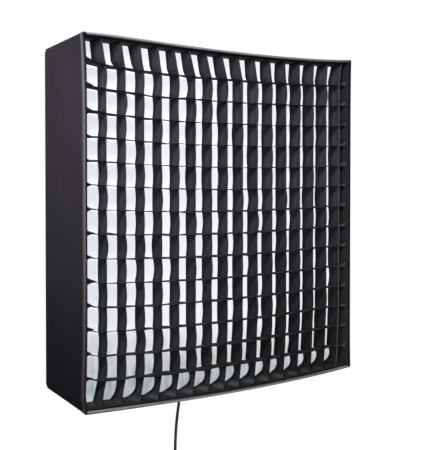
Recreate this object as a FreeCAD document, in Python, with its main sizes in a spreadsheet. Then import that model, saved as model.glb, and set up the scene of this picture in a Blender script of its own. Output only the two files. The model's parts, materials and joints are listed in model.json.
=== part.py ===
import FreeCAD, Part
import math
import os
import Sketcher

# Square lamp softbox on a tilting stand head, in millimetres.
# Origin: centre of the mouth of the stand socket. +Z up, the lit front faces -Y.
doc = FreeCAD.newDocument("softbox")
sheet = doc.addObject("Spreadsheet::Sheet", "Dimensions")
row = 0


class Size:
    """A number together with the spreadsheet expression that gives it."""

    def __init__(self, value, text):
        self.value = value
        self.text = text

    def __add__(self, other):
        other = size(other)
        return Size(self.value + other.value, f"({self.text} + {other.text})")

    def __sub__(self, other):
        other = size(other)
        return Size(self.value - other.value, f"({self.text} - {other.text})")

    def __rsub__(self, other):
        return size(other) - self

    def __mul__(self, other):
        other = size(other)
        return Size(self.value * other.value, f"({self.text} * {other.text})")

    def __truediv__(self, other):
        other = size(other)
        return Size(self.value / other.value, f"({self.text} / {other.text})")

    def __neg__(self):
        return Size(-self.value, f"(0 - {self.text})")

    __radd__ = __add__
    __rmul__ = __mul__


def size(number):
    """A plain number as a Size; a Size stays as it is."""
    if isinstance(number, Size):
        return number
    return Size(float(number), f"({float(number):.6f})")


def dim(name, value):
    """One driving dimension: a spreadsheet cell with an alias."""
    global row
    row += 1
    sheet.set(f"A{row}", name)
    sheet.set(f"B{row}", str(value))
    sheet.setAlias(f"B{row}", name)
    return Size(float(value), f"Dimensions.{name}")


# Fabric box
front_width = dim("front_width", 666)
front_height = dim("front_height", 650)
box_depth = dim("box_depth", 155)
rear_ratio = dim("rear_ratio", 0.943)
rear_standoff = dim("rear_standoff", 180)
fabric = dim("fabric", 2)
lining_gauge = dim("lining_gauge", 0.6)
flap_width = dim("flap_width", 40)
flap_corner_gap = dim("flap_corner_gap", 46)
binding_gauge = dim("binding_gauge", 0.8)
binding_reach = dim("binding_reach", 9)
rim_band_gauge = dim("rim_band_gauge", 1)
rim_band_start = dim("rim_band_start", 4)
rim_band_end = dim("rim_band_end", 44.5)
baffle_setback = dim("baffle_setback", 85)
baffle_gauge = dim("baffle_gauge", 1)
baffle_margin = dim("baffle_margin", 20)
baffle_corner = dim("baffle_corner", 40)
strap_width = dim("strap_width", 20)
stay_radius = dim("stay_radius", 2)
stay_front_inset_x = dim("stay_front_inset_x", 6.5)
stay_front_inset_z = dim("stay_front_inset_z", 6.5)
stay_setback = dim("stay_setback", 48)

# Diffuser and grid
diffuser_setback = dim("diffuser_setback", 40)
diffuser_gauge = dim("diffuser_gauge", 1)
diffuser_border_start = dim("diffuser_border_start", 36.5)
diffuser_border_end = dim("diffuser_border_end", 44)
hem_gauge = dim("hem_gauge", 1.2)
hem_gap = dim("hem_gap", 0.1)
grid_recess = dim("grid_recess", 6)
strip_depth = dim("strip_depth", 30)
strip_gauge = dim("strip_gauge", 1.2)
slot_gap = dim("slot_gap", 0.1)
GRID_COLUMNS = 17
GRID_ROWS = 15

# Flexible light panel
panel_side = dim("panel_side", 604)
panel_gauge = dim("panel_gauge", 3)
board_side = dim("board_side", 560)
board_gauge = dim("board_gauge", 1.2)
chip_side = dim("chip_side", 5)
chip_gauge = dim("chip_gauge", 0.8)
chip_pitch = dim("chip_pitch", 40)
CHIP_ROWS = 14
hook_gauge = dim("hook_gauge", 1.5)
hook_width = dim("hook_width", 26)
grommet_inset = dim("grommet_inset", 12)
grommet_bore = dim("grommet_bore", 4.3)
grommet_tube = dim("grommet_tube", 5.5)
grommet_flange = dim("grommet_flange", 8)
grommet_lip = dim("grommet_lip", 0.5)

# Cable and plug
cable_radius = dim("cable_radius", 3)
cable_bend = dim("cable_bend", 450)
cable_drop = dim("cable_drop", 190)
boot_bottom = dim("boot_bottom", 262)
plug_radius = dim("plug_radius", 9)
plug_length = dim("plug_length", 45)
plug_ring_radius = dim("plug_ring_radius", 12.5)

# Folding arms and hub
hub_radius = dim("hub_radius", 60)
hub_rear = dim("hub_rear", 140)
hub_front = dim("hub_front", 172)
pivot_radius = dim("pivot_radius", 46)
arm_plane = dim("arm_plane", 160)
knuckle_radius = dim("knuckle_radius", 8)
knuckle_width = dim("knuckle_width", 14)
knuckle_gap = dim("knuckle_gap", 0.1)
pin_radius = dim("pin_radius", 3)
running_gap = dim("running_gap", 0.05)
arm_radius = dim("arm_radius", 6)
arm_bore = dim("arm_bore", 5)
tip_radius = dim("tip_radius", 9)
stud_radius = dim("stud_radius", 4)
plunger_radius = dim("plunger_radius", 2)
groove_depth = dim("groove_depth", 1.2)

# Tilt head
tilt_height = dim("tilt_height", 86)
socket_radius = dim("socket_radius", 8.05)
socket_depth = dim("socket_depth", 45)
receiver_radius = dim("receiver_radius", 17)
receiver_height = dim("receiver_height", 60)
clevis_inner = dim("clevis_inner", 11)
clevis_outer = dim("clevis_outer", 19)
tongue_half = dim("tongue_half", 9.95)
tongue_radius = dim("tongue_radius", 16)
bolt_radius = dim("bolt_radius", 5)
neck_radius = dim("neck_radius", 17)
neck_start = dim("neck_start", 28)
neck_end = dim("neck_end", 88)
spigot_radius = dim("spigot_radius", 8)
spigot_end = dim("spigot_end", 34)
neck_clamp_plane = dim("neck_clamp_plane", 60)
receiver_clamp_height = dim("receiver_clamp_height", 24)
boss_radius = dim("boss_radius", 11)
pad_radius = dim("pad_radius", 5)
pad_length = dim("pad_length", 5)
screw_radius = dim("screw_radius", 4)
knob_radius = dim("knob_radius", 15)
knob_length = dim("knob_length", 18)
lever_reach = dim("lever_reach", 62)
doc.recompute()

ORIGIN = (0, 0, 0)
TURNS = {
    "+z": FreeCAD.Rotation(),
    "-z": FreeCAD.Rotation(FreeCAD.Vector(1, 0, 0), 180),
    "+x": FreeCAD.Rotation(FreeCAD.Vector(0, 1, 0), 90),
    "-x": FreeCAD.Rotation(FreeCAD.Vector(0, 1, 0), -90),
    "+y": FreeCAD.Rotation(FreeCAD.Vector(1, 0, 0), -90),
    "-y": FreeCAD.Rotation(FreeCAD.Vector(1, 0, 0), 90),
}
CORNERS = {
    "top_right": (1, 1, 45),
    "top_left": (-1, 1, 135),
    "bottom_left": (-1, -1, 225),
    "bottom_right": (1, -1, 315),
}
nodes = []


# ---- building blocks ----------------------------------------------------------------

def bind(thing, path, value):
    """Set a property and tie it to the spreadsheet when its value comes from there."""
    value = size(value)
    if not path.startswith("."):
        setattr(thing, path, value.value)
    if "Dimensions" in value.text:
        thing.setExpression(path, value.text)


def place(thing, position, rotation=None):
    """Position a document object, each coordinate tied to the spreadsheet."""
    position = [size(part) for part in position]
    base = FreeCAD.Vector(*[part.value for part in position])
    thing.Placement = FreeCAD.Placement(base, rotation or FreeCAD.Rotation())
    for letter, part in zip("xyz", position):
        bind(thing, f".Placement.Base.{letter}", part)
    return thing


def box(name, low, high):
    """Rectangular block between two corners."""
    block = doc.addObject("Part::Box", name)
    for prop, start, stop in zip(("Length", "Width", "Height"), low, high):
        bind(block, prop, size(stop) - start)
    return place(block, low)


def cylinder(name, radius, length, position, along="+z"):
    """Round bar starting at a position and running along an axis."""
    bar = doc.addObject("Part::Cylinder", name)
    bind(bar, "Radius", radius)
    bind(bar, "Height", length)
    return place(bar, position, TURNS[along])


def fuse(name, *parts):
    """One solid from several."""
    joined = doc.addObject("Part::MultiFuse", name)
    joined.Shapes = list(parts)
    joined.Refine = True
    return joined


def group(name, parts):
    """Separate solids kept under one name."""
    bundle = doc.addObject("Part::Compound", name)
    bundle.Links = list(parts)
    return bundle


def cut(name, base, *tools):
    """The base with the tools taken away."""
    result = doc.addObject("Part::Cut", name)
    result.Base = base
    result.Tool = tools[0] if len(tools) == 1 else group(name + "_tools", tools)
    result.Refine = True
    return result


def outline(body, plane, points):
    """Closed sketch through points on one of the body's own planes."""
    support = [part for part in body.Origin.OriginFeatures if part.Role == plane][0]
    sketch = body.newObject("Sketcher::SketchObject", body.Name + "_outline")
    sketch.AttachmentSupport = [(support, "")]
    sketch.MapMode = "FlatFace"
    points = [(size(x), size(y)) for x, y in points]
    count = len(points)
    corners = [FreeCAD.Vector(x.value, y.value, 0) for x, y in points]
    for n in range(count):
        sketch.addGeometry(Part.LineSegment(corners[n], corners[(n + 1) % count]))
    for n in range(count):
        sketch.addConstraint(Sketcher.Constraint("Coincident", n, 2, (n + 1) % count, 1))
    for n, point in enumerate(points):
        for kind, part in zip(("DistanceX", "DistanceY"), point):
            index = sketch.addConstraint(Sketcher.Constraint(kind, -1, 1, n, 1, part.value))
            sketch.renameConstraint(index, f"{kind}{n}")
            bind(sketch, f".Constraints.{kind}{n}", part)
    return sketch


def turned(name, profile, position, along="+z"):
    """Body of revolution from a closed profile of (radius, height) points."""
    body = doc.addObject("PartDesign::Body", name)
    sketch = outline(body, "XZ_Plane", profile)
    spin = body.newObject("PartDesign::Revolution", name + "_spin")
    spin.Profile = sketch
    spin.ReferenceAxis = (sketch, ["V_Axis"])
    spin.Angle = 360
    return place(body, position, TURNS[along])


def prism(name, plane, points, length, position, rotation=None):
    """Sketched outline padded along the normal of its plane."""
    body = doc.addObject("PartDesign::Body", name)
    sketch = outline(body, plane, points)
    pad = body.newObject("PartDesign::Pad", name + "_pad")
    pad.Profile = sketch
    bind(pad, "Length", length)
    return place(body, position, rotation)


def node(thing, label):
    """Mark a document object as one exported sub-part."""
    thing.Label = label
    nodes.append(thing)
    return thing


def behind_rim(setback):
    """Y of a plane a given distance behind the front rim."""
    return setback - rear_standoff - box_depth


def half_width(setback, inset=0):
    """Half the width of the tapering box at a setback, less an inset."""
    narrowing = (1 - rear_ratio) * setback / box_depth
    return front_width / 2 * (1 - narrowing) - inset


def half_height(setback, inset=0):
    """Half the height of the tapering box at a setback, less an inset."""
    narrowing = (1 - rear_ratio) * setback / box_depth
    return front_height / 2 * (1 - narrowing) - inset


def wedge(name, start, stop, front, rear):
    """Block between a front and a rear rectangle, each (x low, x high, z low, z high)."""
    block = doc.addObject("Part::Wedge", name)
    bind(block, "Ymin", behind_rim(start))
    bind(block, "Ymax", behind_rim(stop))
    for prop, value in zip(("Xmin", "Xmax", "Zmin", "Zmax"), front):
        bind(block, prop, value)
    for prop, value in zip(("X2min", "X2max", "Z2min", "Z2max"), rear):
        bind(block, prop, value)
    return place(block, (0, 0, tilt_height))


def taper_block(name, start, stop, inset):
    """Solid that follows the taper of the box between two setbacks."""
    ends = []
    for setback in (size(start), size(stop)):
        across = half_width(setback, inset)
        up = half_height(setback, inset)
        ends.append((-across, across, -up, up))
    return wedge(name, start, stop, ends[0], ends[1])


def taper_frame(name, start, stop, inset, gauge):
    """Four-sided band that follows the inside of the box walls."""
    outer = taper_block(name + "_outer", start, stop, inset)
    inner = taper_block(name + "_inner", start, stop, size(inset) + gauge)
    return cut(name, outer, inner)


# ---- fabric box -----------------------------------------------------------------------

def side_wall(label, sign):
    """Left or right fabric wall, full height."""
    ends = []
    for setback in (size(0), box_depth):
        far = sign * half_width(setback)
        near = sign * half_width(setback, fabric)
        up = half_height(setback)
        low, high = (near, far) if sign > 0 else (far, near)
        ends.append((low, high, -up, up))
    node(wedge(label, 0, box_depth, ends[0], ends[1]), label)


def level_wall(label, sign):
    """Top or bottom fabric wall, held between the side walls."""
    ends = []
    for setback in (size(0), box_depth):
        far = sign * half_height(setback)
        near = sign * half_height(setback, fabric)
        across = half_width(setback, fabric)
        low, high = (near, far) if sign > 0 else (far, near)
        ends.append((-across, across, low, high))
    node(wedge(label, 0, box_depth, ends[0], ends[1]), label)


def rear_flaps():
    """Four flaps that fold behind the light panel and stop short of its corners."""
    flaps = []
    back = -rear_standoff
    front = back - fabric
    across = half_width(box_depth, fabric)
    up = half_height(box_depth, fabric)
    for sign in (-1, 1):
        x_ends = sorted((sign * across, sign * (across - flap_width)), key=lambda part: part.value)
        reach = up - flap_corner_gap
        low = (x_ends[0], front, tilt_height - reach)
        high = (x_ends[1], back, tilt_height + reach)
        flaps.append(box("side_flap", low, high))
        z_ends = sorted((sign * up, sign * (up - flap_width)), key=lambda part: part.value)
        reach = across - flap_corner_gap
        low = (-reach, front, tilt_height + z_ends[0])
        high = (reach, back, tilt_height + z_ends[1])
        flaps.append(box("level_flap", low, high))
    node(group("rear_flaps", flaps), "rear_flaps")


def wall_lining():
    """Silver lining bonded to the inside of the walls behind the diffuser."""
    start = rim_band_end + 1
    stop = box_depth - fabric - 0.5
    node(taper_frame("wall_lining", start, stop, fabric, lining_gauge), "wall_lining")


def rim_hook_band():
    """Hook tape sewn inside the front edge; it holds the diffuser and the grid."""
    band = taper_frame("rim_hook_band", rim_band_start, rim_band_end, fabric, rim_band_gauge)
    node(band, "rim_hook_band")


def front_binding():
    """Tape folded over the front edge of the walls."""
    over = -binding_gauge
    outer = taper_block("binding_outer", over, binding_reach, -0.7)
    walls = taper_block("binding_walls", 0, binding_reach, 0)
    opening = taper_block("binding_opening", over, 0, fabric)
    node(cut("front_binding", outer, walls, opening), "front_binding")


def inner_baffle():
    """Second diffuser sheet halfway down the box, with clipped corners."""
    x = half_width(baffle_setback, baffle_margin)
    z = half_height(baffle_setback, baffle_margin)
    clip = baffle_corner
    points = [
        (x - clip, -z), (x, clip - z), (x, z - clip), (x - clip, z),
        (clip - x, z), (-x, z - clip), (-x, clip - z), (clip - x, -z),
    ]
    position = (0, behind_rim(baffle_setback) + baffle_gauge, tilt_height)
    node(prism("inner_baffle", "XZ_Plane", points, baffle_gauge, position), "inner_baffle")


def baffle_straps():
    """Elastic tabs between the baffle and the lining, two on each side."""
    straps = []
    front = behind_rim(baffle_setback)
    back = front + baffle_gauge
    skin = fabric + lining_gauge
    x = half_width(baffle_setback, baffle_margin)
    z = half_height(baffle_setback, baffle_margin)
    wall_x = half_width(baffle_setback + baffle_gauge, skin)
    wall_z = half_height(baffle_setback + baffle_gauge, skin)
    half = strap_width / 2
    for side in (-1, 1):
        for sign in (-1, 1):
            middle = sign * 180
            ends = sorted((side * x, side * wall_x), key=lambda part: part.value)
            low = (ends[0], front, tilt_height + middle - half)
            high = (ends[1], back, tilt_height + middle + half)
            straps.append(box("side_strap", low, high))
            ends = sorted((side * z, side * wall_z), key=lambda part: part.value)
            low = (middle - half, front, tilt_height + ends[0])
            high = (middle + half, back, tilt_height + ends[1])
            straps.append(box("level_strap", low, high))
    node(group("baffle_straps", straps), "baffle_straps")


def ring_wire(name, radius, position):
    """Circle facing along Y, used as the end of a lofted rod."""
    wire = doc.addObject("Part::Circle", name)
    bind(wire, "Radius", radius)
    return place(wire, position, TURNS["-y"])


def corner_stays():
    """Four slanting rods that push the front corners out, with their end fittings."""
    rods = []
    sockets = []
    caps = []
    centre = panel_side / 2 - grommet_inset
    lip = panel_front() - grommet_lip - 0.2
    skin = fabric + lining_gauge
    end_x = half_width(stay_setback, skin + stay_front_inset_x)
    end_z = half_height(stay_setback, skin + stay_front_inset_z)
    for name, (x_sign, z_sign, _) in CORNERS.items():
        x = x_sign * centre
        z = tilt_height + z_sign * centre
        tip = (x_sign * end_x, behind_rim(stay_setback), tilt_height + z_sign * end_z)
        rod = doc.addObject("Part::Loft", "stay_" + name)
        near_end = ring_wire("stay_rear_end", stay_radius, (x, lip - 13, z))
        far_end = ring_wire("stay_front_end", stay_radius, tip)
        rod.Sections = [near_end, far_end]
        rod.Solid = True
        rod.Ruled = True
        rods.append(rod)
        bore = grommet_bore
        profile = [(bore, 0), (7, 0), (7.5, 0.5), (7.5, 14), (5, 18), (0, 18), (0, 11), (bore, 11)]
        cup = turned("socket_blank", profile, (x, lip, z), "-y")
        sockets.append(cut("socket_" + name, cup, rod))
        profile = [(0, 0), (4, 0), (4.5, 0.5), (4.5, 4), (2.5, 6), (0, 6)]
        cap = turned("cap_blank", profile, (tip[0], tip[1] + 2, tip[2]), "-y")
        caps.append(cut("cap_" + name, cap, rod))
    node(group("corner_stays", rods), "corner_stays")
    node(group("stay_sockets", sockets), "stay_sockets")
    node(group("stay_caps", caps), "stay_caps")


# ---- diffuser and grid ----------------------------------------------------------------

def hem_inset():
    """Depth from the outside of the box to the outside of a removable hem."""
    return fabric + rim_band_gauge + hem_gap


def front_diffuser():
    """White cloth across the box behind the grid, with its own hem."""
    stop = diffuser_setback + diffuser_gauge
    cloth = taper_block("front_diffuser", diffuser_setback, stop, hem_inset() + hem_gauge)
    node(cloth, "front_diffuser")
    hem = taper_frame("diffuser_border", diffuser_border_start, diffuser_border_end,
                      hem_inset(), hem_gauge)
    node(hem, "diffuser_border")


def grid_pitch():
    """Cell width and height at the front of the grid."""
    inset = hem_inset() + hem_gauge
    across = 2 * half_width(grid_recess, inset) / GRID_COLUMNS
    up = 2 * half_height(grid_recess, inset) / GRID_ROWS
    return across, up


def grid_strips(count, pitch, gauge, upright, start, stop, inset):
    """Parallel strips on a pitch, each running to the inside of the hem."""
    strips = []
    for n in range(count):
        middle = (n - (count - 1) / 2) * pitch
        ends = []
        for setback in (start, stop):
            reach = half_height(setback, inset) if upright else half_width(setback, inset)
            thin = (middle - gauge / 2, middle + gauge / 2)
            ends.append(thin + (-reach, reach) if upright else (-reach, reach) + thin)
        strips.append(wedge("strip", start, stop, ends[0], ends[1]))
    return strips


def fabric_grid():
    """Egg-crate grid: a hem and two sets of strips that interlock by half-depth slots."""
    start = grid_recess
    stop = grid_recess + strip_depth
    middle = grid_recess + strip_depth / 2
    inset = hem_inset() + hem_gauge
    across, up = grid_pitch()
    node(taper_frame("grid_border", start, stop, hem_inset(), hem_gauge), "grid_border")
    slot = strip_gauge + 2 * slot_gap
    columns = GRID_COLUMNS - 1
    rows = GRID_ROWS - 1
    upright = grid_strips(columns, across, strip_gauge, True, start, stop, inset)
    level = grid_strips(rows, up, strip_gauge, False, start, stop, inset)
    level_slots = grid_strips(rows, up, slot, False, middle - slot_gap, stop + 1, -20)
    upright_slots = grid_strips(columns, across, slot, True, start - 1, middle, -20)
    node(cut("grid_vertical_strips", group("uprights", upright), *level_slots),
         "grid_vertical_strips")
    node(cut("grid_horizontal_strips", group("levels", level), *upright_slots),
         "grid_horizontal_strips")


# ---- flexible light panel ---------------------------------------------------------------

def panel_back():
    """Y of the rear face of the light panel."""
    return -rear_standoff - fabric - hook_gauge


def panel_front():
    """Y of the front face of the panel backing."""
    return panel_back() - panel_gauge


def panel_corners():
    """The four grommet centres."""
    centre = panel_side / 2 - grommet_inset
    return [(x * centre, tilt_height + z * centre) for x, z, _ in CORNERS.values()]


def light_panel():
    """Padded backing with four holes, the circuit sheet and its rows of light chips."""
    half = panel_side / 2
    low = (-half, panel_front(), tilt_height - half)
    high = (half, panel_back(), tilt_height + half)
    holes = [cylinder("grommet_hole", grommet_tube, panel_gauge + 2, (x, panel_front() - 1, z), "+y")
             for x, z in panel_corners()]
    node(cut("panel_backing", box("backing_blank", low, high), *holes), "panel_backing")
    half = board_side / 2
    board_face = panel_front() - board_gauge
    low = (-half, board_face, tilt_height - half)
    high = (half, panel_front(), tilt_height + half)
    node(box("led_board", low, high), "led_board")
    rows = []
    columns = []
    reach = chip_pitch * CHIP_ROWS / 2
    for n in range(CHIP_ROWS):
        middle = (n - (CHIP_ROWS - 1) / 2) * chip_pitch
        near = middle - chip_side / 2
        far = middle + chip_side / 2
        face = board_face - chip_gauge
        rows.append(box("chip_row", (-reach, face, tilt_height + near),
                        (reach, board_face, tilt_height + far)))
        columns.append(box("chip_column", (near, face, tilt_height - reach),
                           (far, board_face, tilt_height + reach)))
    chips = doc.addObject("Part::Common", "led_chips")
    chips.Base = group("chip_rows", rows)
    chips.Tool = group("chip_columns", columns)
    node(chips, "led_chips")


def corner_grommets():
    """Metal eyelets that hang the panel on the arm studs."""
    lip = grommet_lip
    total = panel_gauge + 2 * lip
    profile = [
        (grommet_bore, 0), (grommet_flange, 0), (grommet_flange, lip), (grommet_tube, lip),
        (grommet_tube, total - lip), (grommet_flange, total - lip), (grommet_flange, total),
        (grommet_bore, total),
    ]
    rings = [turned("grommet", profile, (x, panel_back() + lip, z), "-y") for x, z in panel_corners()]
    node(group("corner_grommets", rings), "corner_grommets")


def hook_strips():
    """Hook tape on the back of the panel where the fabric flaps close."""
    strips = []
    outer = panel_side / 2 - 2
    reach = half_height(box_depth, fabric) - flap_corner_gap - 2
    back = -rear_standoff - fabric
    for sign in (-1, 1):
        ends = sorted((sign * outer, sign * (outer - hook_width)), key=lambda part: part.value)
        strips.append(box("side_hook", (ends[0], panel_back(), tilt_height - reach),
                          (ends[1], back, tilt_height + reach)))
        strips.append(box("level_hook", (-reach, panel_back(), tilt_height + ends[0]),
                          (reach, back, tilt_height + ends[1])))
    node(group("hook_strips", strips), "hook_strips")


def cable_plane():
    """Y of the cable where it leaves the boot."""
    return -rear_standoff + cable_radius + 0.5


def cable_path():
    """Path of the cable: down over the flap, a gentle double bend, then straight down."""
    body = doc.addObject("PartDesign::Body", "cable_route")
    support = [part for part in body.Origin.OriginFeatures if part.Role == "YZ_Plane"][0]
    path = body.newObject("Sketcher::SketchObject", "cable_path")
    path.AttachmentSupport = [(support, "")]
    path.MapMode = "FlatFace"
    y = cable_plane()
    top = tilt_height - boot_bottom + 12
    first = tilt_height - boot_bottom - 38
    bend = cable_bend
    swing = math.asin(cable_drop.value / 2 / bend.value)
    turn = bend.value * math.cos(swing)
    last = first.value - cable_drop.value
    side = y.value + 2 * (bend.value - turn)
    up = FreeCAD.Vector(0, 0, 1)
    path.addGeometry(Part.LineSegment(FreeCAD.Vector(y.value, top.value, 0),
                                      FreeCAD.Vector(y.value, first.value, 0)))
    near = Part.Circle(FreeCAD.Vector(y.value + bend.value, first.value, 0), up, bend.value)
    path.addGeometry(Part.ArcOfCircle(near, math.pi, math.pi + swing))
    far = Part.Circle(FreeCAD.Vector(side - bend.value, last, 0), up, bend.value)
    path.addGeometry(Part.ArcOfCircle(far, 0, swing))
    path.addGeometry(Part.LineSegment(FreeCAD.Vector(side, last, 0),
                                      FreeCAD.Vector(side, last - 18, 0)))
    path.addConstraint(Sketcher.Constraint("Vertical", 0))
    path.addConstraint(Sketcher.Constraint("Vertical", 3))
    path.addConstraint(Sketcher.Constraint("Tangent", 0, 2, 1, 1))
    path.addConstraint(Sketcher.Constraint("Tangent", 1, 2, 2, 2))
    path.addConstraint(Sketcher.Constraint("Tangent", 2, 1, 3, 1))
    path.addConstraint(Sketcher.Constraint("Equal", 1, 2))
    held = [
        ("start_y", Sketcher.Constraint("DistanceX", -1, 1, 0, 1, y.value), y),
        ("start_z", Sketcher.Constraint("DistanceY", -1, 1, 0, 1, top.value), top),
        ("bend_z", Sketcher.Constraint("DistanceY", -1, 1, 0, 2, first.value), first),
        ("bend", Sketcher.Constraint("Radius", 1, bend.value), bend),
        ("drop", Sketcher.Constraint("DistanceY", 3, 1, 0, 2, cable_drop.value), cable_drop),
        ("tail", Sketcher.Constraint("DistanceY", 3, 2, 3, 1, 18), size(18)),
    ]
    for name, rule, value in held:
        index = path.addConstraint(rule)
        path.renameConstraint(index, name)
        bind(path, f".Constraints.{name}", value)
    return path, side, last - 18


def cable_and_plug():
    """Strain-relief boot, hanging cable and the fixed parts of its plug."""
    path, side, end = cable_path()
    start = (0, cable_plane(), tilt_height - boot_bottom + 12)
    wire = doc.addObject("Part::Circle", "cable_section")
    bind(wire, "Radius", cable_radius)
    place(wire, start)
    cable = doc.addObject("Part::Sweep", "power_cable")
    cable.Sections = [wire]
    cable.Spine = (path, ["Edge1", "Edge2", "Edge3", "Edge4"])
    cable.Solid = True
    node(cable, "power_cable")
    x, z = 15, tilt_height - boot_bottom
    back = cable_plane() + cable_radius + 2.5
    blank = box("boot_block", (-x, panel_back(), z + 4), (x, back, z + 26))
    nose_profile = [(0, 0), (4.5, 0), (5.5, 5), (0, 5)]
    nose = turned("boot_nose", nose_profile, (0, cable_plane(), z))
    node(cut("cable_boot", fuse("boot_blank", blank, nose), cable), "cable_boot")
    bottom = end - plug_length.value + 6
    length = plug_length
    r = plug_radius
    profile = [
        (7, 0), (r, 0), (r, length - 14), (r - 1.5, length - 12), (5, length - 1), (4.5, length),
        (0, length), (0, 12), (7, 12),
    ]
    shell = turned("shell_blank", profile, (0, side, bottom))
    node(cut("connector_shell", shell, cable), "connector_shell")
    disc = cylinder("insert_blank", 7, 9, (0, side, bottom + 3))
    pins = []
    holes = []
    for angle in (45, 135, 225, 315):
        x = 3.5 * math.cos(math.radians(angle))
        y = side + 3.5 * math.sin(math.radians(angle))
        pins.append(cylinder("pin", 1, 9, (x, y, bottom + 1)))
        holes.append(cylinder("pin_hole", 1, 7, (x, y, bottom + 3)))
    node(cut("connector_insert", disc, *holes), "connector_insert")
    node(group("connector_pins", pins), "connector_pins")
    bore = r + running_gap
    outer = plug_ring_radius
    profile = [
        (bore, 0), (outer - 1, 0), (outer, 1), (outer, 15), (outer - 1, 16), (bore, 16),
    ]
    ring = turned("ring_blank", profile, (0, side, bottom - 1))
    grips = []
    for n in range(12):
        angle = math.radians(30 * n)
        spot = (math.cos(angle) * outer, side + math.sin(angle) * outer, bottom + 1)
        grips.append(cylinder("ring_grip", 0.9, 12, spot))
    node(cut("connector_ring", ring, *grips), "connector_ring")


# ---- hub and folding arms -----------------------------------------------------------------

def about_hub(thing, angle):
    """Turn a piece drawn along +X about the hub axis to its own diagonal."""
    turn = FreeCAD.Rotation(FreeCAD.Vector(0, 1, 0), -angle)
    return place(thing, (0, 0, tilt_height), turn)


def frame_hub():
    """Disc with four slots for the arm knuckles, bored for pins, plungers and spigot."""
    width = hub_front - hub_rear
    r = hub_radius
    profile = [(0, 0), (r - 3, 0), (r, 3), (r, width - 1), (r - 1, width), (0, width)]
    disc = turned("hub_blank", profile, (0, -hub_rear, tilt_height), "-y")
    tools = []
    half = knuckle_width / 2 + knuckle_gap
    deep = -arm_plane - knuckle_radius - 0.2
    ledge = -arm_plane - arm_radius - 0.1
    open_back = 1 - hub_rear
    inner = pivot_radius - knuckle_radius - 1
    bend = pivot_radius + knuckle_radius + 1.5
    for name, (_, _, angle) in CORNERS.items():
        cuts = [
            box("slot_inner", (inner, deep, -half), (bend, open_back, half)),
            box("slot_outer", (bend - 1, ledge, -half), (r + 2, open_back, half)),
            cylinder("pin_bore", pin_radius, 64, (pivot_radius, -arm_plane, -17)),
            cylinder("plunger_bore", plunger_radius, 14, (26, -arm_plane, 0), "+x"),
        ]
        tools.append(about_hub(group("arm_slot_" + name, cuts), angle))
    tools.append(cylinder("pilot", 10, 7, (0, 1 - hub_rear, tilt_height), "-y"))
    tools.append(cylinder("bolt_way", 4.3, width, (0, -hub_rear, tilt_height), "-y"))
    tools.append(cylinder("bolt_head_way", 7.5, 11, (0, 10 - hub_front, tilt_height), "-y"))
    for x, z in ((32, 0), (0, 32), (-32, 0), (0, -32)):
        tools.append(cylinder("cover_hole", 1.5, 9, (x, 8 - hub_front, tilt_height + z), "-y"))
    node(cut("frame_hub", disc, *tools), "frame_hub")


def hub_fittings():
    """Cover plate and its screws, pivot pins and the plungers that steady the arms."""
    face = -hub_front
    plate = turned("cover_blank", [(0, 0), (52, 0), (52, 1.4), (51.4, 2), (0, 2)],
                   (0, face, tilt_height), "-y")
    holes = []
    screws = []
    for x, z in ((32, 0), (0, 32), (-32, 0), (0, -32)):
        holes.append(cylinder("cover_way", 1.5, 4, (x, face + 1, tilt_height + z), "-y"))
        profile = [(0, 0), (1.5, 0), (1.5, 9), (2.8, 9), (2.8, 10), (2.2, 10.8), (0, 10.8)]
        screws.append(turned("cover_screw", profile, (x, face + 7, tilt_height + z), "-y"))
    node(cut("hub_cover", plate, *holes), "hub_cover")
    node(group("cover_screws", screws), "cover_screws")
    pins = []
    plungers = []
    nose = pivot_radius - knuckle_radius + groove_depth - 0.1
    for name, (_, _, angle) in CORNERS.items():
        pin = cylinder("pivot_pin_" + name, pin_radius, 34, (pivot_radius, -arm_plane, -17))
        pins.append(about_hub(group("pin_place", [pin]), angle))
        r = plunger_radius
        profile = [(0, 0), (r, 0), (r, nose - 27), (r - 1, nose - 26), (0, nose - 26)]
        plunger = turned("plunger_" + name, profile, (26, -arm_plane, 0), "+x")
        plungers.append(about_hub(group("plunger_place", [plunger]), angle))
    node(group("arm_pivot_pins", pins), "arm_pivot_pins")
    node(group("arm_plungers", plungers), "arm_plungers")


def hub_spigot():
    """Turned spigot behind the hub and the bolt that pulls it in."""
    length = hub_rear - spigot_end
    r = spigot_radius
    profile = [
        (0, 0), (r - 1, 0), (r, 1), (r, length - 6), (18, length - 6), (18, length),
        (10, length), (10, length + 6), (4, length + 6), (4, length - 28), (0, length - 28),
    ]
    node(turned("hub_spigot", profile, (0, -spigot_end, tilt_height), "-y"), "hub_spigot")
    head = 10 - hub_front
    blank = turned("bolt_blank", [(0, 0), (6, 0), (6.5, 0.5), (6.5, 8), (4, 8), (4, 50), (0, 50)],
                   (0, head - 8, tilt_height), "+y")
    flats = [(2.9 * math.cos(math.radians(60 * n)), 2.9 * math.sin(math.radians(60 * n)))
             for n in range(6)]
    key = prism("bolt_key", "XZ_Plane", flats, 6, (0, head - 3, tilt_height))
    node(cut("spigot_bolt", blank, key), "spigot_bolt")


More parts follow.
